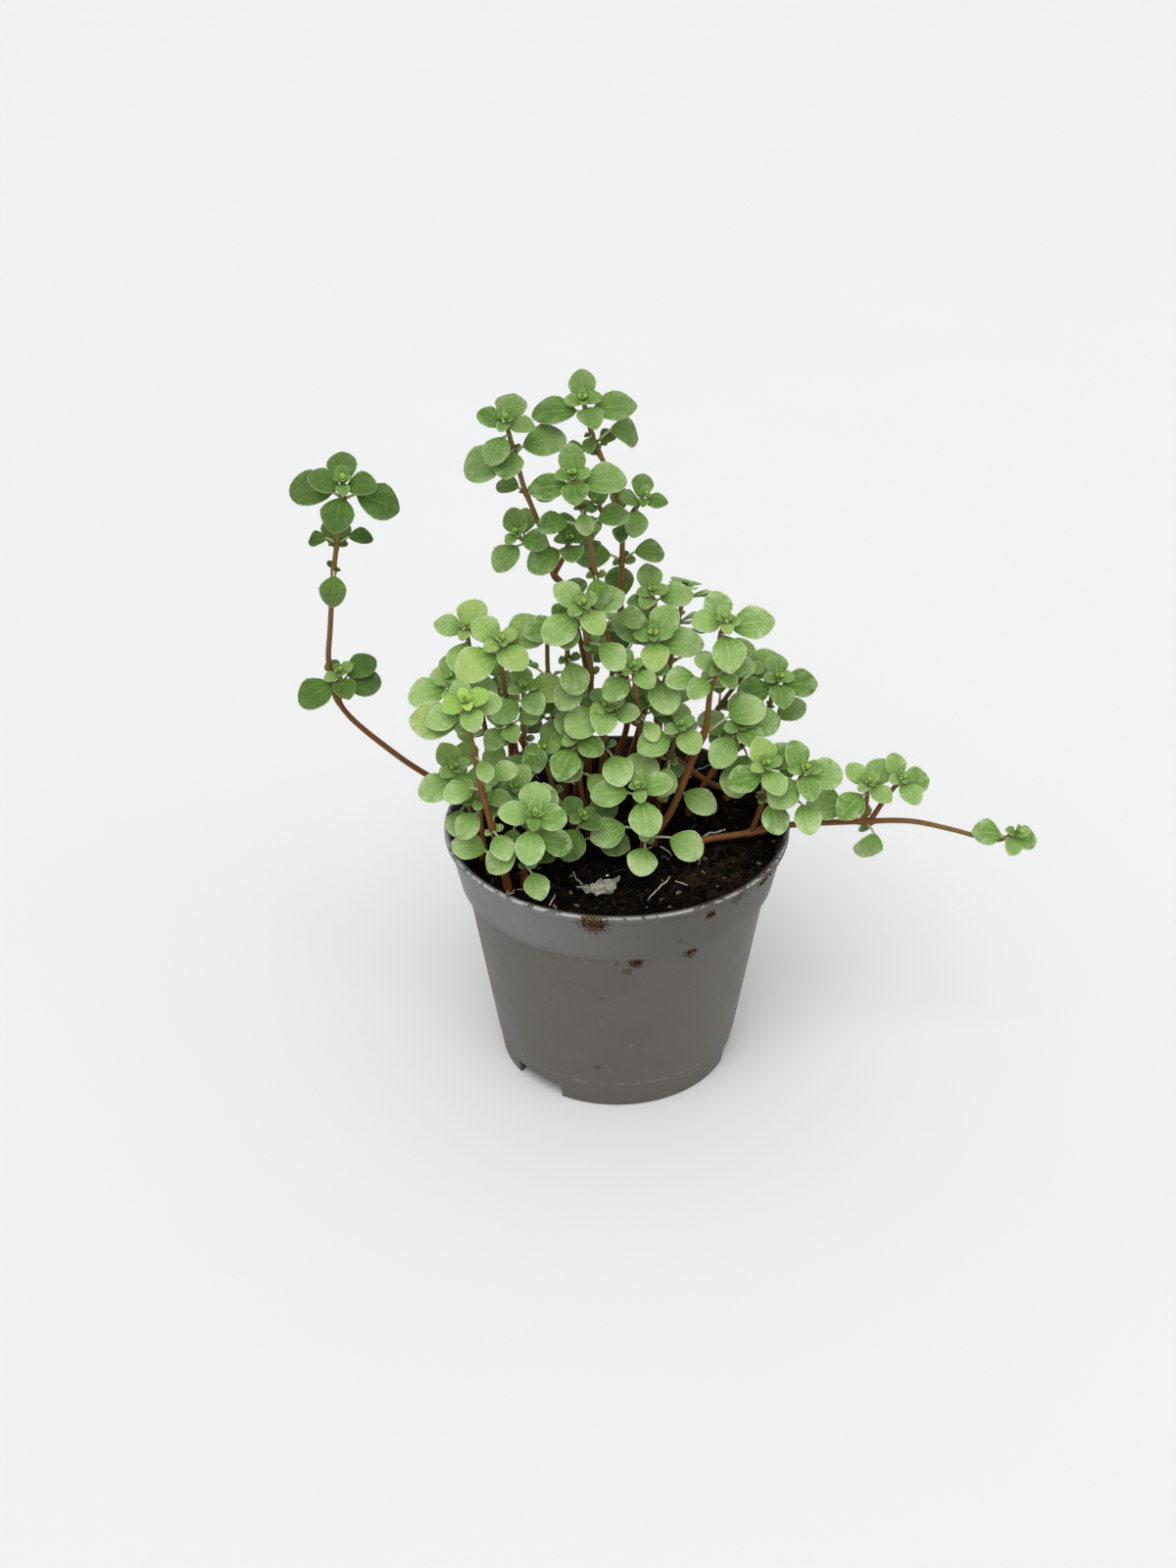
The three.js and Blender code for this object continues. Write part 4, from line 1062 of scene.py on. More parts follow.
def add_dry_leaf(surface):
    """A dead leaf on the soil, torn at its edge, crumpled and curled, with its thin stalk."""
    deselect_all()
    bpy.ops.mesh.primitive_grid_add(x_subdivisions=26, y_subdivisions=18, size=2)
    piece = new_piece("dried_leaf")
    for vertex in piece.data.vertices:
        x, y = disc_point(vertex.co.x, vertex.co.y)
        angle, reach = math.atan2(y, x), math.hypot(x, y)
        torn = 1 + 0.11 * math.sin(3 * angle + 0.6) + 0.06 * math.sin(7 * angle) + 0.05 * math.sin(13 * angle)
        reach_x, reach_y = 3.9 * torn, 2.3 * torn
        curl = 1.2 * reach**2 * (0.5 + 0.5 * math.sin(2 * angle + 0.5))
        vertex.co = (x * reach_x * MM, y * reach_y * MM, curl * MM)
    for name, grain, depth in (("folds", 2.2, 1.9), ("wrinkles", 0.7, 0.6)):
        roughen(piece, name, grain, depth, mid_level=0.5, direction="Z")
    apply_modifier(piece, "SOLIDIFY", thickness=0.22 * MM, offset=0)
    select_only(piece)
    bpy.ops.object.shade_smooth_by_angle(angle=math.radians(40))
    middle = (*DEAD_LEAF_PLACE, soil_top(surface, *DEAD_LEAF_PLACE) + 0.9)
    turn = Matrix.Rotation(math.radians(DEAD_LEAF_TURN), 4, "Z")
    piece.data.transform(Matrix.Translation(place_of(middle)) @ turn)
    piece.data.materials.append(dead_leaf_material())
    foot = (*DEAD_STALK_FOOT, soil_top(surface, *DEAD_STALK_FOOT) + 1.2)
    stalk = wavering_tube(seeded_draw(STALK_SEED), foot, (-0.5, 0.6, 0.8), 3.4, 0.22, 0.9)
    sprig = add_tubes("dried_stalk", [stalk], 6, piece.data.materials[0])
    piece = join_pieces("dried_leaf", [piece, sprig])
    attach(piece, "root")
    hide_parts("dry_leaf")


# ---- Stems and leaves ----


def outline_half(x, tip_round):
    """Half of a blade's width at a share of its length, wedge-shaped at the neck and rounder at the tip."""
    if x < WIDEST:
        return (1 - ((WIDEST - x) / WIDEST) ** 1.45) ** 0.68
    return max(0.0, 1 - ((x - WIDEST) / (1 - WIDEST)) ** 1.95) ** tip_round


def add_blade_shape(name, tip_round, waist, rows, across):
    """A blade of length 1 and width 1 from its neck at the origin, with veins pressed in and a thin margin.

    Its UV map runs from neck to tip and from margin to margin. "under" is 1 on its lower face.
    """
    columns = len(across) - 1
    deselect_all()
    bpy.ops.mesh.primitive_grid_add(x_subdivisions=rows, y_subdivisions=columns, size=2, calc_uvs=True)
    piece = new_piece(name)
    mesh = piece.data
    mesh.uv_layers[0].name = "blade"
    spots = []
    for vertex in mesh.vertices:
        x = 0.5 - 0.5 * math.cos(math.pi * (vertex.co.x + 1) / 2)
        side = across[round((vertex.co.y + 1) / 2 * columns)]
        spots.append((x, side))
    for loop in mesh.loops:
        x, side = spots[loop.vertex_index]
        mesh.uv_layers[0].data[loop.index].uv = (x, 0.5 + 0.5 * side)
    for vertex, (x, side) in zip(mesh.vertices, spots):
        half = 0.5 * waist * outline_half(x, tip_round)
        main_vein = 0.028 * math.exp(-((side / 0.16) ** 2)) * (1 - x)
        side_veins = 0.012 * math.exp(-(((abs(side) - 0.5) / 0.14) ** 2)) * math.sin(math.pi * x)
        vertex.co = (x, side * half, -main_vein - side_veins)
    tidy_mesh(piece, 1e-5)
    thick = piece.vertex_groups.new(name="thick")
    for vertex in mesh.vertices:
        half = 0.5 * waist * max(0.02, outline_half(vertex.co.x, tip_round))
        edge = min(1.0, abs(vertex.co.y) / half)
        thick.add([vertex.index], 1 - 0.75 * edge**4, "REPLACE")
    count = len(mesh.vertices)
    apply_modifier(piece, "SOLIDIFY", thickness=0.055, offset=0, vertex_group="thick",
                   thickness_vertex_group=0.25)
    upper = mean_height(piece, range(count)) > mean_height(piece, range(count, 2 * count))
    under = [float((i < count) != upper) for i in range(len(piece.data.vertices))]
    set_values(piece, "under", under)
    piece.vertex_groups.clear()
    select_only(piece)
    bpy.ops.object.shade_smooth()
    return piece


def mean_height(piece, indices):
    heights = [piece.data.vertices[i].co.z for i in indices]
    return sum(heights) / len(heights)


def lay_blade(shape, leaf, youth, painted_shade, pale, bend, draw):
    """A copy of a blade, arched, cupped and laid from the neck of its petiole along the leaf."""
    piece = copy_piece(shape)
    length, width = leaf.length, leaf.width
    cup = bend * (0.2 + 0.75 * draw())
    ripple, phase = 0.024 * length * draw(), FULL_TURN * draw()
    twist, droop = 0.5 * (draw() - 0.5), 0.11 * length * draw()
    for vertex in piece.data.vertices:
        x, y, z = vertex.co
        side = 2 * y
        arch = 0.05 * length * math.sin(math.pi * min(1, 1.25 * x)) - droop * x**3
        wave = ripple * side * side * math.sin(9 * x + phase)
        lift = arch + cup * side * side + wave + twist * x * y * width + z * length
        spine = add(leaf.neck, scale(leaf.along, x * length))
        vertex.co = place_of(add(spine, add(scale(leaf.across, y * width), scale(leaf.normal, lift))))
    count = len(piece.data.vertices)
    # Each blade carries its random tone, its youth and its painted shade, which the leaf material reads
    for name, value in (("tone", pale + (1 - pale) * draw()), ("youth", youth), ("painted_shade", painted_shade)):
        set_values(piece, name, [value] * count)
    return piece


def stem_tube(line):
    """A stem's line with its leaf joints swollen, as (point, radius, share) at about every step."""
    joints = [line.length - back for back, *_ in line.spec.get("pairs", ())]
    joints += [line.length - back for back, *_ in line.spec.get("singles", ())]
    joints += [line.length - shoot["back"] for shoot in line.spec.get("shoots", ())]
    tube = []
    steps = max(4, round(line.length / STEM_STEP))
    for i in range(steps + 1):
        distance = line.length * i / steps
        point, _, radius = line.at(line.length - distance)
        swollen = sum(math.exp(-(((distance - joint) / 0.75) ** 2)) for joint in joints)
        foot = 0.25 * math.exp(-(((distance - BURIED) / 2.5) ** 2)) if line.spec in STEMS else 0
        swell = 0.94 + 0.32 * min(1, swollen) + foot
        tube.append((point, STEM_SHARE * radius * swell, distance / line.length))
    return tube


def petiole_tube(leaf):
    """A petiole that leaves the stem steeply, bows out to the neck and runs on into the blade's midrib."""
    to_neck = subtract(leaf.neck, leaf.root)
    elbow = add(leaf.root, add(scale(to_neck, 0.55), scale(leaf.axis, 0.07 * leaf.petiole)))
    radius = 0.17 + 0.011 * leaf.length
    tube = []
    for i in range(7):
        t = i / 6
        start, middle = scale(leaf.root, (1 - t) ** 2), scale(elbow, 2 * t * (1 - t))
        point = add(add(start, middle), scale(leaf.neck, t * t))
        tube.append((point, radius * (1.25 - 0.35 * t), t))
    for share, thin in MIDRIB:
        arch = 0.05 * leaf.length * math.sin(math.pi * 1.25 * share)
        under = scale(leaf.normal, arch - 0.02 * leaf.length)
        tube.append((add(add(leaf.neck, scale(leaf.along, share * leaf.length)), under), radius * thin, 1))
    return tube


def bud_leaves(line):
    """The tiny leaves that open in the heart of a tip rosette, each pair across the one below it."""
    tip, axis, _ = line.at(0)
    frame = leaf_frame(axis, TIP_WEIGHT, line.node)
    length = line.spec["leaf"] * line.spec.get("buds", 1)
    buds = []
    for pair, (share, lift) in enumerate(BUD_PAIRS):
        for side in (0, 180):
            azimuth = line.spec["turn"] + 90 * pair + side
            root = add(tip, scale(axis, 0.1 + 0.3 * pair))
            buds.append(Leaf(line.node, root, axis, frame, azimuth, length * share, 0.15, lift))
    return buds


def axil_leaves(leaf, draw):
    """Young leaves of the side buds that sit between a leaf's petiole and its stem."""
    young = []
    for side in (-1, 1):
        if draw() < AXIL_EMPTY:
            continue
        small = copy.copy(leaf)
        small.length = leaf.length * (0.2 + 0.22 * draw())
        small.width = small.length * BLADE_WIDTH_SHARE
        upright = scale(leaf.axis, 0.35 + 0.4 * draw())
        out = add(scale(leaf.along, 0.6), add(scale(leaf.across, 0.55 * side), upright))
        small.along = unit(out)
        small.across = unit(cross(leaf.normal, small.along))
        small.normal = cross(small.along, small.across)
        small.neck = add(leaf.root, scale(small.along, 0.5))
        young.append(small)
    return young


def shade_on(leaf, leaves):
    """How much of the light the leaves above keep off a leaf, from 0 to 1."""
    light = unit(LIGHT_DIRECTION)
    cover = 0
    for other in leaves:
        away = subtract(other.centre, leaf.centre)
        ahead = dot(away, light)
        if 0.5 < ahead < LIGHT_REACH and size(subtract(away, scale(light, ahead))) < 0.45 * other.length:
            cover += 1
    return min(1, cover / 2.5)


def add_foliage(settings):
    """One piece for each stem that grows from the soil: its wood, its petioles and its blades."""
    draw = seeded_draw(FOLIAGE_SEED)
    lines, leaves = grow_plant()
    bark, stalk, skin = bark_material(settings), petiole_material(settings), leaf_material(settings)
    shapes = [add_blade_shape(*outline, LEAF_ROWS, LEAF_COLUMNS) for outline in LEAF_OUTLINES]
    bud_shape = add_blade_shape(*BUD_OUTLINE, BUD_ROWS, BUD_COLUMNS)
    for shape in shapes + [bud_shape]:
        shape.data.materials.append(skin)
    for stem in STEMS:
        name, pale = stem["name"], stem.get("pale", 0)
        own_lines = [line for line in lines if line.node == name]
        own_leaves = [leaf for leaf in leaves if leaf.node == name]
        pieces = [add_tubes("stem", [stem_tube(line) for line in own_lines], STEM_SIDES, bark),
                  add_tubes("petioles", [petiole_tube(leaf) for leaf in own_leaves], PETIOLE_SIDES, stalk)]
        for leaf in own_leaves:
            near_tip = min(size(subtract(leaf.root, line.at(0)[0])) for line in own_lines)
            youth = max(0.0, 0.5 - near_tip / 12) + 0.15 * draw()
            # Painted shade: its stem's darkening, or the cover of the leaves between it and the light,
            # whichever is greater
            painted_shade = max(stem.get("painted_shade", 0), 0.9 * shade_on(leaf, leaves))
            pieces.append(lay_blade(shapes[int(2.999 * draw())], leaf, youth, painted_shade, pale, 1, draw))
            if near_tip > AXIL_DISTANCE:
                pieces += [lay_blade(bud_shape, young, 0.5, painted_shade, pale, 0.6, draw)
                           for young in axil_leaves(leaf, draw)]
        for line in own_lines:
            bright = 0.45 * (line.spec.get("buds", 1) - 1)
            # Painted shade on the buds, half of their stem's
            painted_shade = 0.5 * stem.get("painted_shade", 0)
            pieces += [lay_blade(bud_shape, bud, 0.6 + bright + 0.22 * (k // 2), painted_shade, pale, 0.8, draw)
                       for k, bud in enumerate(bud_leaves(line))]
        foliage = join_pieces(f"leafy_stem_{name}", pieces)
        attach(foliage, "root")
        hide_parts(f"stem_{name}")
    delete_pieces(shapes + [bud_shape])


# ---- Materials ----


class Value:
    """What one node hands to the next, written in formulas as a number is."""

    def __init__(self, tree, socket):
        self.tree, self.socket = tree, socket

    def maths(self, operation, *values):
        return add_node(self.tree, "ShaderNodeMath", dict(enumerate(values)), operation=operation)

    def __add__(self, other):
        return self.maths("ADD", self, other)

    def __mul__(self, other):
        return self.maths("MULTIPLY", self, other)

    def __sub__(self, other):
        return self.maths("SUBTRACT", self, other)

    def __rsub__(self, other):
        return self.maths("SUBTRACT", other, self)

    def __truediv__(self, other):
        return self.maths("DIVIDE", self, other)

    def __rtruediv__(self, other):
        return self.maths("DIVIDE", other, self)

    def __abs__(self):
        return self.maths("ABSOLUTE", self)

    def or_more(self, other):
        """The larger of the two."""
        return self.maths("MAXIMUM", self, other)

    def fraction(self):
        return self.maths("FRACT", self)

    def clamped(self):
        """The same value, kept from 0 to 1."""
        self.socket.node.use_clamp = True
        return self

    def band(self, low, high):
        """0 below low, 1 above high and a soft step between; with high below low it falls instead."""
        inputs = {"Value": self, "From Min": low, "From Max": high}
        return add_node(self.tree, "ShaderNodeMapRange", inputs, interpolation_type="SMOOTHSTEP")

    def vector_maths(self, operation, other=(0, 0, 0), output=0):
        inputs = {0: self, 1: other}
        return add_node(self.tree, "ShaderNodeVectorMath", inputs, output, operation=operation)

    def split(self, kind="ShaderNodeSeparateXYZ"):
        """The three parts of a place or a colour."""
        first = add_node(self.tree, kind, {0: self})
        return [Value(self.tree, socket) for socket in first.socket.node.outputs]


def feed(tree, socket, value):
    """Gives a node's input a number, a colour or another node's value."""
    if isinstance(value, Value):
        tree.links.new(value.socket, socket)
    else:
        socket.default_value = value


def add_node(tree, kind, inputs=None, output=0, **settings):
    """One output of a new node."""
    node = tree.nodes.new(kind)
    for key, value in settings.items():
        setattr(node, key, value)
    for key, value in (inputs or {}).items():
        feed(tree, node.inputs[key], value)
    return Value(tree, node.outputs[output])


def object_place(tree):
    """Object coordinates in millimetres."""
    place = add_node(tree, "ShaderNodeTexCoord", output="Object")
    return add_node(tree, "ShaderNodeVectorMath", {0: place, "Scale": 1 / MM}, operation="SCALE")


def noise(place, grain, detail=3.0, roughness=0.55):
    """Noise from 0 to 1 whose patches are about the grain across, in millimetres."""
    inputs = {"Vector": place, "Scale": 1 / grain, "Detail": detail, "Roughness": roughness}
    return add_node(place.tree, "ShaderNodeTexNoise", inputs)


def scaled(colour, k):
    return (min(1, colour[0] * k), min(1, colour[1] * k), min(1, colour[2] * k), 1)


class Finish:
    """A material whose colour is laid on in coats over its ground."""

    def __init__(self, name, ground):
        self.material = bpy.data.materials.new(name)
        self.material.use_nodes = True
        self.tree = self.material.node_tree
        self.place = object_place(self.tree)
        self.colour = ground

    def noise(self, *how):
        return noise(self.place, *how)

    def mottle(self, patch_size, grain_size):
        """Two values over the surface: its soft patches and its fine grain, of these sizes."""
        sizes = {"Patch size": patch_size, "Grain size": grain_size}
        return use_group(self.tree, "Natural mottle", make_mottle, sizes)

    def point_value(self, name):
        return add_node(self.tree, "ShaderNodeAttribute", output="Fac", attribute_name=name)

    def coat(self, share, colour, blend="MIX"):
        """Lays a colour on: none of it where the share is 0, all of it where the share is 1."""
        inputs = {0: share, 6: self.colour, 7: colour}
        self.colour = add_node(self.tree, "ShaderNodeMix", inputs, 2, data_type="RGBA", blend_type=blend)

    def seal(self, roughness, specular=0.5, relief=None, depth=0):
        """Hands the finish to the surface. The relief is up to the depth high, in millimetres."""
        shader = self.tree.nodes["Principled BSDF"].inputs
        feed(self.tree, shader["Base Color"], self.colour)
        feed(self.tree, shader["Roughness"], roughness)
        feed(self.tree, shader["Specular IOR Level"], specular)
        if relief:
            inputs = {"Height": relief, "Distance": depth * MM, "Strength": 1.0}
            feed(self.tree, shader["Normal"], add_node(self.tree, "ShaderNodeBump", inputs))
        return self.material


def new_group(name, inputs, outputs):
    """An empty node group, the values that its named inputs give, and its output node."""
    group = bpy.data.node_groups.new(name, "ShaderNodeTree")
    for label, value in inputs.items():
        kind = "NodeSocketVector" if isinstance(value, tuple) else "NodeSocketFloat"
        group.interface.new_socket(label, in_out="INPUT", socket_type=kind).default_value = value
    for label in outputs:
        group.interface.new_socket(label, in_out="OUTPUT", socket_type="NodeSocketFloat")
    given = group.nodes.new("NodeGroupInput").outputs
    return group, {label: Value(group, given[label]) for label in inputs}, group.nodes.new("NodeGroupOutput")


def make_mottle(name):
    """Soft patches and fine grain, which every grown or moulded surface here shows in its own size."""
    group, given, result = new_group(name, {"Patch size": 2.0, "Grain size": 0.3}, ["Patches", "Grain"])
    place = object_place(group)
    for label, output, detail, low, high in (("Patch size", "Patches", 3.0, 0.36, 0.64),
                                             ("Grain size", "Grain", 2.0, 0.25, 0.75)):
        inputs = {"Vector": place, "Scale": 1.0 / given[label], "Detail": detail}
        texture = add_node(group, "ShaderNodeTexNoise", inputs)
        feed(group, result.inputs[output], texture.band(low, high))
    return group


def make_smear(name):
    """Where thin soil lies: patches with ragged edges round a centre, inside a width, as a mask."""
    sizes = {"Centre": (0, 0, 0), "Width": 2.0, "Amount": 1.0}
    group, given, result = new_group(name, sizes, ["Mask"])
    place = object_place(group)
    share = place.vector_maths("DISTANCE", given["Centre"], "Value") / given["Width"]
    ragged = share + noise(place, 0.55, 4.0, 0.75) * 2.6
    feed(group, result.inputs["Mask"], ragged.band(1.95, 1.7) * given["Amount"])
    return group


def use_group(tree, name, make, inputs):
    """The outputs of a shared node group, placed in a material with this finish's own values."""
    group = bpy.data.node_groups.get(name) or make(name)
    first = add_node(tree, "ShaderNodeGroup", inputs, node_tree=group)
    return [Value(tree, socket) for socket in first.socket.node.outputs]


def plastic_material(settings):
    """Grey moulded plastic: a darker band with a pale bluish painted highlight on its left, a whitish line on
    the lip that is partly lime and partly painted highlight, a painted highlight on the crease, scuffs,
    specks and soil smears.
    """
    finish = Finish("grey moulded plastic", settings.colour)
    x, _, z = finish.place.split()
    top, rim = POT_TOP, RIM_RADIUS
    level = finish.place.vector_maths("SUBTRACT", (AXIS_X / MM, AXIS_Y / MM, top))
    reach = level.vector_maths("MULTIPLY", (1, 1, 0)).vector_maths("LENGTH", output="Value")
    patches, grain = finish.mottle(9.0, 0.35)
    finish.coat(patches * 0.5, scaled(settings.colour, 1.25))
    # The band is darker than the body, and a pale bluish painted highlight lies on its left side
    on_band = z.band(BAND_FOOT_Z - 1.5, BAND_FOOT_Z + 2.5)
    finish.coat(on_band * 0.6, scaled(settings.colour, 0.72))
    finish.coat(on_band * (x.band(4.0, -38.0) * 0.72), settings.bloom)
    # Fine upright scuffs from handling, and a painted highlight along the crease above the foot
    upright = finish.place.vector_maths("MULTIPLY", (1, 1, 0.12))
    scuffs = noise(upright, 0.5, 2.0).band(0.67, 0.73) * finish.noise(6.0).band(0.5, 0.62)
    finish.coat(scuffs * 0.28, (0.34, 0.34, 0.32, 1))
    crease_highlight = abs(z - (CREASE_Z + 0.3)).band(0.3, 0.12) * finish.noise(3.0).band(0.4, 0.6)
    finish.coat(crease_highlight * 0.22, (0.34, 0.35, 0.34, 1))
    # A whitish line along the outer edge of the lip: partly lime left by water, partly painted highlight
    lip = z.band(top - 0.45, top - 0.12) * reach.band(rim - 0.5, rim - 0.3)
    lime_and_highlight = lip * (finish.noise(4.0, 3.0, 0.6).band(0.4, 0.62) * 0.3 + 0.7)
    finish.coat(lime_and_highlight * 0.5, settings.lime_and_highlight)
    # Specks, dirt that has fallen just under the rim, mostly at the right, and soil smears
    dirt = finish.noise(0.42, 1.0).band(0.76, 0.79) * 0.7
    fallen = finish.noise(1.1, 4.0, 0.75) + x.band(-8.0, 16.0) * 0.05
    fallen = fallen.band(0.665, 0.69) * z.band(top - 4.5, top - 1.5)
    dirt = dirt.or_more(fallen * 0.85)
    for azimuth, height, width, amount in SMEARS:
        side_x, side_y = around(wall_radius(height), math.radians(azimuth))
        centre = (side_x + AXIS_X / MM, side_y + AXIS_Y / MM, height)
        inputs = {"Centre": centre, "Width": width, "Amount": amount}
        dirt = dirt.or_more(use_group(finish.tree, "Soil smear", make_smear, inputs)[0])
    # Soil dust on the inner face and in patches on top of the lip
    ledge = z.band(top - 0.5, top - 0.2) * finish.noise(2.6, 4.0, 0.7).band(0.5, 0.58) * 0.809
    inside = finish.point_value("inside").band(0.5, 0.9) * finish.noise(1.1, 4.0, 0.7).band(0.25, 0.45)
    dust = inside.or_more(ledge) * 0.92
    finish.coat(dust, scaled(settings.soil, 0.25))
    finish.coat(dirt, settings.soil)
    dirt = dirt.or_more(dust)
    gloss = (patches * 0.10 + 0.40 + dirt.or_more(lime_and_highlight) * 0.45).clamped()
    return finish.seal(gloss, 0.22, grain * 0.12 + dirt * (finish.noise(0.35) + 0.6), 0.16)


def peat_material(settings):
    """Black-brown peat: dark hollows, reddish-brown crumbs, scattered pale grit."""
    finish = Finish("damp peat", settings.dark)
    patches, grain = finish.mottle(2.6, 0.45)
    finish.coat(patches, settings.brown)
    finish.coat(grain * 0.5, settings.dark)
    inputs = {"Vector": finish.place, "Scale": 1 / 0.8}
    chips = add_node(finish.tree, "ShaderNodeTexVoronoi", inputs, "Color").split("ShaderNodeSeparateColor")
    centre = (DRY_PATCH[0] + AXIS_X / MM, DRY_PATCH[1] + AXIS_Y / MM, SOIL_LEVEL)
    away = finish.place.vector_maths("DISTANCE", centre, "Value")
    dry = away.band(13.0, 4.0) * finish.noise(2.0).band(0.4, 0.65)
    finish.coat(dry * 0.7, scaled(settings.brown, 4.5))
    finish.coat(chips[0].band(0.86, 0.94), scaled(settings.brown, 2.2))
    finish.coat(chips[1].band(0.985, 0.995) * 0.6, (0.28, 0.22, 0.14, 1))
    wet = finish.noise(3.5).band(0.42, 0.62)
    return finish.seal(0.95 - wet * 0.3, 0.03, grain + chips[2] * 0.6, 0.22)


def crumb_material(settings):
    """Grains of peat from black to red-brown, by their own shade, with a few of pale grit."""
    finish = Finish("peat crumbs", settings.dark)
    patches, grain = finish.mottle(0.9, 0.2)
    shade = finish.point_value("shade")
    finish.coat(shade.band(0.05, 0.5), settings.brown)
    finish.coat(shade.band(0.5, 0.82), (0.090, 0.048, 0.022, 1))
    finish.coat(shade.band(0.9, 0.98), (0.55, 0.52, 0.45, 1))
    finish.coat(patches * 0.45, scaled(settings.dark, 0.8))
    return finish.seal(0.97 - grain * 0.2, 0.04, grain, 0.08)


def streaked_material(name, root_colour, tip_colour, dark, roughness, change=(0.1, 0.8)):
    """A root, fibre or stalk: its colour changes from root to tip under fine mottle."""
    finish = Finish(name, root_colour)
    patches, grain = finish.mottle(1.3, 0.25)
    finish.coat(finish.point_value("along").band(*change), tip_colour)
    finish.coat(patches * dark, (0.06, 0.025, 0.012, 1))
    return finish.seal(grain * 0.2 + roughness, 0.25, grain, 0.05)


def fibre_material(settings):
    return streaked_material("peat fibre", scaled(settings.brown, 1.1), (0.06, 0.040, 0.020, 1), 0.4, 0.75)


def rootlet_material():
    return streaked_material("pale root", (0.52, 0.46, 0.34, 1), (0.66, 0.64, 0.56, 1), 0.25, 0.6)


def bark_material(settings):
    """Red-brown stems that turn yellow-green towards their tips."""
    return streaked_material("stem bark", settings.stem, settings.stem_tip, 0.28, 0.42, (0.45, 1.0))


def petiole_material(settings):
    """Petioles, pinkish brown at the stem and pale green at the blade."""
    return streaked_material("petiole", scaled(settings.stem, 1.6), settings.petiole, 0.08, 0.45, (0.0, 0.55))


def dead_leaf_material():
    """A dead leaf: ash grey with brown stains and dust."""
    finish = Finish("dead leaf", (0.10, 0.095, 0.065, 1))
    patches, grain = finish.mottle(1.4, 0.25)
    finish.coat(patches, (0.36, 0.35, 0.28, 1))
    finish.coat(finish.noise(1.8, 4.0, 0.7).band(0.56, 0.66) * 0.8, (0.09, 0.055, 0.03, 1))
    finish.coat(grain * 0.3, (0.48, 0.47, 0.40, 1))
    return finish.seal(0.95 - patches * 0.2, relief=grain, depth=0.12)


def leaf_material(settings):
    """The blades: grey-green under a silvery bloom, fresh green when young, with pale veins and margins, and
    a darker green painted shade on shaded leaves.
    """
    finish = Finish("pilea leaf", settings.leaf)
    length_share, width_share, _ = add_node(finish.tree, "ShaderNodeUVMap", uv_map="blade").split()
    across = abs(width_share * 2.0 - 1.0)
    tone, youth, under, painted_shade = (finish.point_value(name) for name in ("tone", "youth", "under", "painted_shade"))
    patches, grain = finish.mottle(1.5, 0.3)
    # The leaf's own tone: mid green, pale grey-green or yellow-green; then painted shade, a darker green on
    # shaded leaves and some stems
    finish.coat(tone.band(0.05, 0.95), settings.leaf_pale)
    finish.coat(tone.band(0.93, 1.0), settings.leaf_yellow)
    finish.coat(painted_shade * 0.9, settings.leaf_painted_shade)
    # Silvery bloom in soft patches, more towards the margin and less under painted shade
    outward = across.band(0.2, 0.9).or_more(length_share.band(0.55, 1.0)) * length_share.band(0.1, 0.55)
    bloom = (patches * 0.8 + grain * 0.2) * (outward * 0.9 + 0.1) * (0.8 - painted_shade * 0.7)
    finish.coat(bloom, settings.leaf_silver)
    # Fresh green at the neck and in young leaves, less under painted shade
    fresh = (length_share.band(0.8, 0.12) * 0.88).or_more(youth * 0.85)
    finish.coat(fresh * (1.0 - painted_shade * 0.5), settings.leaf_young)
    finish.coat(youth.band(0.8, 1.05), settings.bud)
    # Veins: the midrib, one curved vein on each side, and faint ribs between them
    midrib = across.band(0.08, 0.02) * length_share.band(0.9, 0.3)
    curved = abs(across - 0.5).band(0.08, 0.015) * length_share.band(0.8, 0.25)
    ribs = (length_share * 6.5 - across * 2.1 + finish.noise(1.6) * 0.9).fraction()
    ribs = abs(ribs - 0.5).band(0.15, 0.02) * 0.4
    veins = midrib.or_more(curved * 0.55).or_more(ribs)
    # Veins and margins fade under painted shade
    plain = 1.0 - painted_shade * 0.6
    finish.coat(veins * (plain * 0.4), settings.vein)
    margin = across.band(0.92, 0.99).or_more(length_share.band(0.975, 0.995))
    finish.coat(margin * (plain * 0.75), settings.vein)
    # A few dark specks on some of the older leaves
    older = abs(tone - 0.62).band(0.13, 0.1)
    specks = finish.noise(0.5, 1.0).band(0.71, 0.74) * older * youth.band(0.4, 0.2)
    finish.coat(specks * 0.8, (0.05, 0.055, 0.025, 1))
    # Fine grain over everything, and the paler lower face
    light = grain * 0.3 + 0.82
    grey = add_node(finish.tree, "ShaderNodeCombineColor", {0: light, 1: light, 2: light})
    finish.coat(1.0, grey, "MULTIPLY")
    finish.coat(under * 0.5, settings.leaf_under)
    roughness = patches * 0.12 + 0.46 - youth * 0.12
    return finish.seal(roughness, 0.12, grain * 0.3 - veins * 0.8, 0.14)


def floor_material(settings):
    """A pale matt floor with a trace of unevenness in its tone."""
    finish = Finish("pale floor", settings.floor)
    finish.coat(finish.noise(90.0, 2.0), scaled(settings.floor, 0.985))
    return finish.seal(0.85, 0.2)


# ---- Stage ----


def add_floor(settings):
    deselect_all()
    bpy.ops.mesh.primitive_plane_add(size=settings.floor_width)
    floor = new_piece("pale_floor")
    bpy.ops.object.transform_apply(location=False, rotation=False, scale=True)
    floor.data.materials.append(floor_material(settings))


def add_fill_light(settings):
    """A square soft box at the right that faces the plant."""
    data = bpy.data.lights.new("fill", "AREA")
    data.shape, data.size, data.energy = "SQUARE", FILL_WIDTH, settings.fill_power
    lamp = link_object("fill", data)
    lamp.location = FILL_PLACE
    lamp.rotation_euler = (Vector(PLANT_MIDDLE) - Vector(FILL_PLACE)).to_track_quat("-Z", "Y").to_euler()


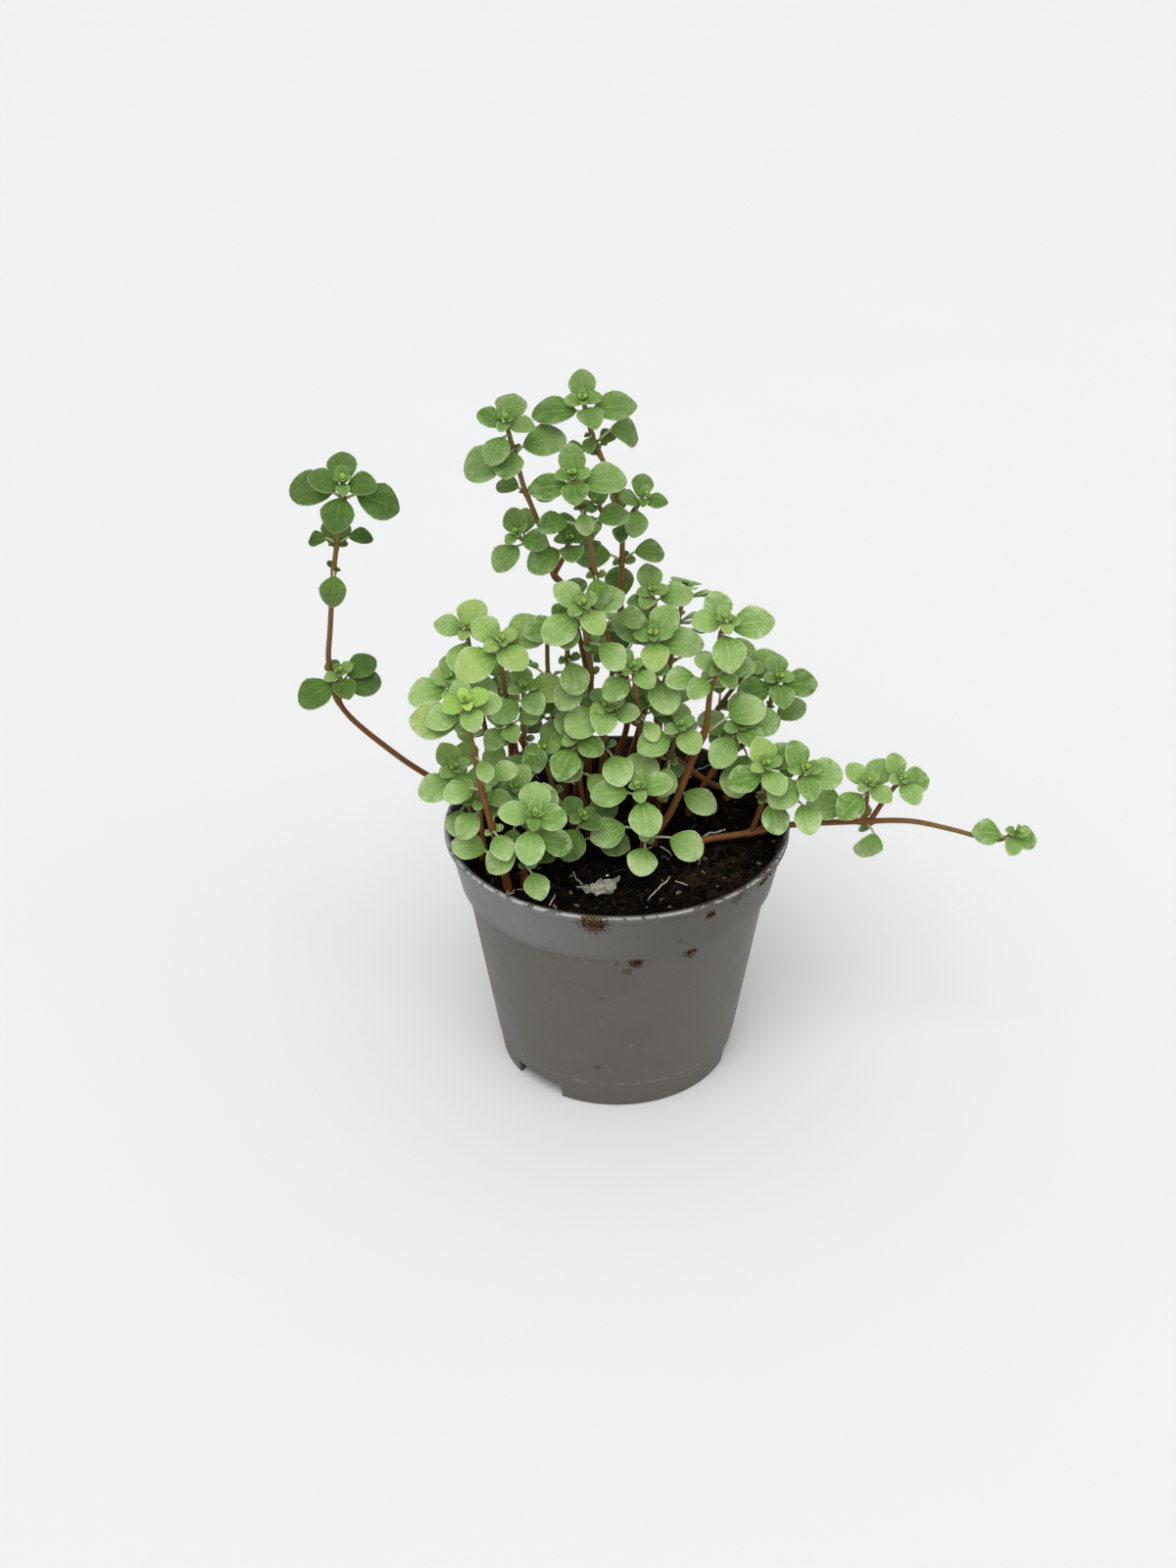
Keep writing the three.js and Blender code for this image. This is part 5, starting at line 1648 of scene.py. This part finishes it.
def add_key_light(settings):
    """A broad soft light from above the left shoulder, even over the whole floor."""
    data = bpy.data.lights.new("key", "SUN")
    data.energy, data.angle = settings.key_strength, math.radians(KEY_SPREAD)
    link_object("key", data).rotation_euler = (math.radians(KEY_TURN[0]), math.radians(KEY_TURN[1]), 0)


def add_camera():
    data = bpy.data.cameras.new("photo camera")
    data.lens, data.sensor_width, data.sensor_fit = CAMERA_LENS, SENSOR, "AUTO"
    data.clip_start, data.clip_end = 0.01, 50
    camera = link_object("photo_camera", data)
    camera.location = place_of(CAMERA_PLACE)
    pitch = Matrix.Rotation(math.radians(90 - CAMERA_PITCH), 3, "X")
    camera.rotation_euler = (pitch @ Matrix.Rotation(math.radians(CAMERA_ROLL), 3, "Z")).to_euler()
    bpy.context.scene.camera = camera


def add_stage(settings):
    add_floor(settings)
    world = bpy.data.worlds.new("studio")
    world.use_nodes = True
    background = world.node_tree.nodes["Background"]
    background.inputs["Color"].default_value = (*settings.sky, 1)
    background.inputs["Strength"].default_value = settings.sky_strength
    bpy.context.scene.world = world
    add_key_light(settings)
    add_fill_light(settings)
    add_camera()
    bpy.context.scene.view_settings.view_transform = "Standard"


# ---- Settings, operators and panel ----


def colour_property(name, description, default):
    return FloatVectorProperty(name=name, description=description, subtype="COLOR", size=4, min=0, max=1,
                               default=default)


class PotSettings(bpy.types.PropertyGroup):
    colour: colour_property("Plastic", "Colour of the moulded plastic", (0.105, 0.097, 0.082, 1))
    # A pale bluish painted highlight on the left side of the band
    bloom: colour_property("Bloom", "Paler, bluish cast on the band below the rim", (0.200, 0.208, 0.200, 1))
    # A whitish line along the lip's outer edge: partly lime, partly painted highlight
    lime_and_highlight: colour_property("Lime", "Water marks along the top of the lip", (0.62, 0.62, 0.58, 1))
    soil: colour_property("Smears", "Soil smeared on the outside", (0.085, 0.045, 0.022, 1))


class SoilSettings(bpy.types.PropertyGroup):
    dark: colour_property("Dark peat", "Damp peat in the hollows", (0.0016, 0.0014, 0.0009, 1))
    brown: colour_property("Brown peat", "Drier peat on the crumbs", (0.0075, 0.0052, 0.0028, 1))
    crumbs: IntProperty(name="Crumbs", description="Loose grains on the soil", default=820, min=0, max=2500)
    fibres: IntProperty(name="Fibres", description="Peat fibres on the soil", default=120, min=0, max=600)


class FoliageSettings(bpy.types.PropertyGroup):
    leaf: colour_property("Leaf", "Mid green of the blades", (0.088, 0.182, 0.028, 1))
    leaf_pale: colour_property("Pale leaf", "Grey-green of the paler blades", (0.320, 0.455, 0.155, 1))
    # Painted shade: the darker green laid on shaded blades and on some stems
    leaf_painted_shade: colour_property("Deep leaf", "Green of the deepest blades", (0.032, 0.072, 0.007, 1))
    leaf_yellow: colour_property("Yellow leaf", "Yellow-green of a few blades", (0.420, 0.530, 0.140, 1))
    leaf_young: colour_property("Young leaf", "Fresh green near the tips and necks", (0.125, 0.265, 0.026, 1))
    leaf_silver: colour_property("Silver", "Bloom that lies on the blades", (0.510, 0.640, 0.335, 1))
    leaf_under: colour_property("Underside", "Pale lower face of the blades", (0.270, 0.370, 0.165, 1))
    bud: colour_property("Bud", "Yellow-green heart of a tip rosette", (0.420, 0.630, 0.110, 1))
    vein: colour_property("Vein", "Pale veins and margins", (0.560, 0.660, 0.360, 1))
    stem: colour_property("Stem", "Red-brown of the stems", (0.185, 0.070, 0.014, 1))
    stem_tip: colour_property("Stem tip", "Yellow-green of the young stem", (0.185, 0.130, 0.030, 1))
    petiole: colour_property("Petiole", "Pale green of the leaf stalks", (0.420, 0.460, 0.260, 1))


class StageSettings(bpy.types.PropertyGroup):
    floor: colour_property("Floor", "Pale floor", (0.705, 0.70, 0.695, 1))
    floor_width: FloatProperty(name="Floor width", description="Side of the floor", default=12.0, min=1.0,
                               unit="LENGTH")
    sky: FloatVectorProperty(name="Sky", description="Colour of the light from all sides", subtype="COLOR",
                             size=3, default=(0.96, 0.98, 1.0))
    sky_strength: FloatProperty(name="Sky strength", description="Light from all sides", default=0.80, min=0)
    key_strength: FloatProperty(name="Key light", description="Strength of the broad light at the left",
                                default=1.75, min=0)
    fill_power: FloatProperty(name="Fill light", description="Power of the soft box at the right",
                              default=1.0, min=0, unit="POWER")


class PILEA_OT_add_pot(bpy.types.Operator):
    """Model the nursery pot"""

    bl_idname = "pilea.add_pot"
    bl_label = "Add Pot"

    def execute(self, context):
        add_pot(context.scene.pilea_pot)
        return {"FINISHED"}


class PILEA_OT_add_soil(bpy.types.Operator):
    """Fill the pot with peat, its crumbs, fibres and pale roots, and lay the dead leaf on it"""

    bl_idname = "pilea.add_soil"
    bl_label = "Add Soil"

    def execute(self, context):
        settings = context.scene.pilea_soil
        soil = add_soil_bed(settings)
        surface = BVHTree.FromPolygons([v.co for v in soil.data.vertices],
                                       [face.vertices for face in soil.data.polygons])
        add_crumbs(surface, settings)
        add_fibres(surface, settings)
        add_rootlets(surface)
        add_dry_leaf(surface)
        return {"FINISHED"}


class PILEA_OT_add_foliage(bpy.types.Operator):
    """Grow the stems with their petioles, leaves and buds"""

    bl_idname = "pilea.add_foliage"
    bl_label = "Add Foliage"

    def execute(self, context):
        add_foliage(context.scene.pilea_foliage)
        return {"FINISHED"}


class PILEA_OT_add_stage(bpy.types.Operator):
    """Add the pale floor, the lights and the camera"""

    bl_idname = "pilea.add_stage"
    bl_label = "Add Stage"

    def execute(self, context):
        add_stage(context.scene.pilea_stage)
        return {"FINISHED"}


class PILEA_PT_plant(bpy.types.Panel):
    bl_label = "Potted pilea"
    bl_idname = "PILEA_PT_plant"
    bl_space_type = "VIEW_3D"
    bl_region_type = "UI"
    bl_category = "Pilea"

    def draw(self, context):
        for operator, group in OPERATORS:
            self.layout.operator(operator.bl_idname)
            settings = getattr(context.scene, group)
            for key in settings.__annotations__:
                self.layout.prop(settings, key)


OPERATORS = [(PILEA_OT_add_pot, "pilea_pot"), (PILEA_OT_add_soil, "pilea_soil"),
             (PILEA_OT_add_foliage, "pilea_foliage"), (PILEA_OT_add_stage, "pilea_stage")]
GROUPS = {"pilea_pot": PotSettings, "pilea_soil": SoilSettings, "pilea_foliage": FoliageSettings,
          "pilea_stage": StageSettings}


def register():
    for key, group in GROUPS.items():
        bpy.utils.register_class(group)
        setattr(bpy.types.Scene, key, PointerProperty(type=group))
    for operator, _ in OPERATORS:
        bpy.utils.register_class(operator)
    bpy.utils.register_class(PILEA_PT_plant)


def unregister():
    bpy.utils.unregister_class(PILEA_PT_plant)
    for operator, _ in OPERATORS:
        bpy.utils.unregister_class(operator)
    for key, group in GROUPS.items():
        delattr(bpy.types.Scene, key)
        bpy.utils.unregister_class(group)


def main():
    register()
    bpy.ops.pilea.add_pot()
    bpy.ops.pilea.add_soil()
    bpy.ops.pilea.add_foliage()
    bpy.ops.pilea.add_stage()


if __name__ == "__main__":
    main()
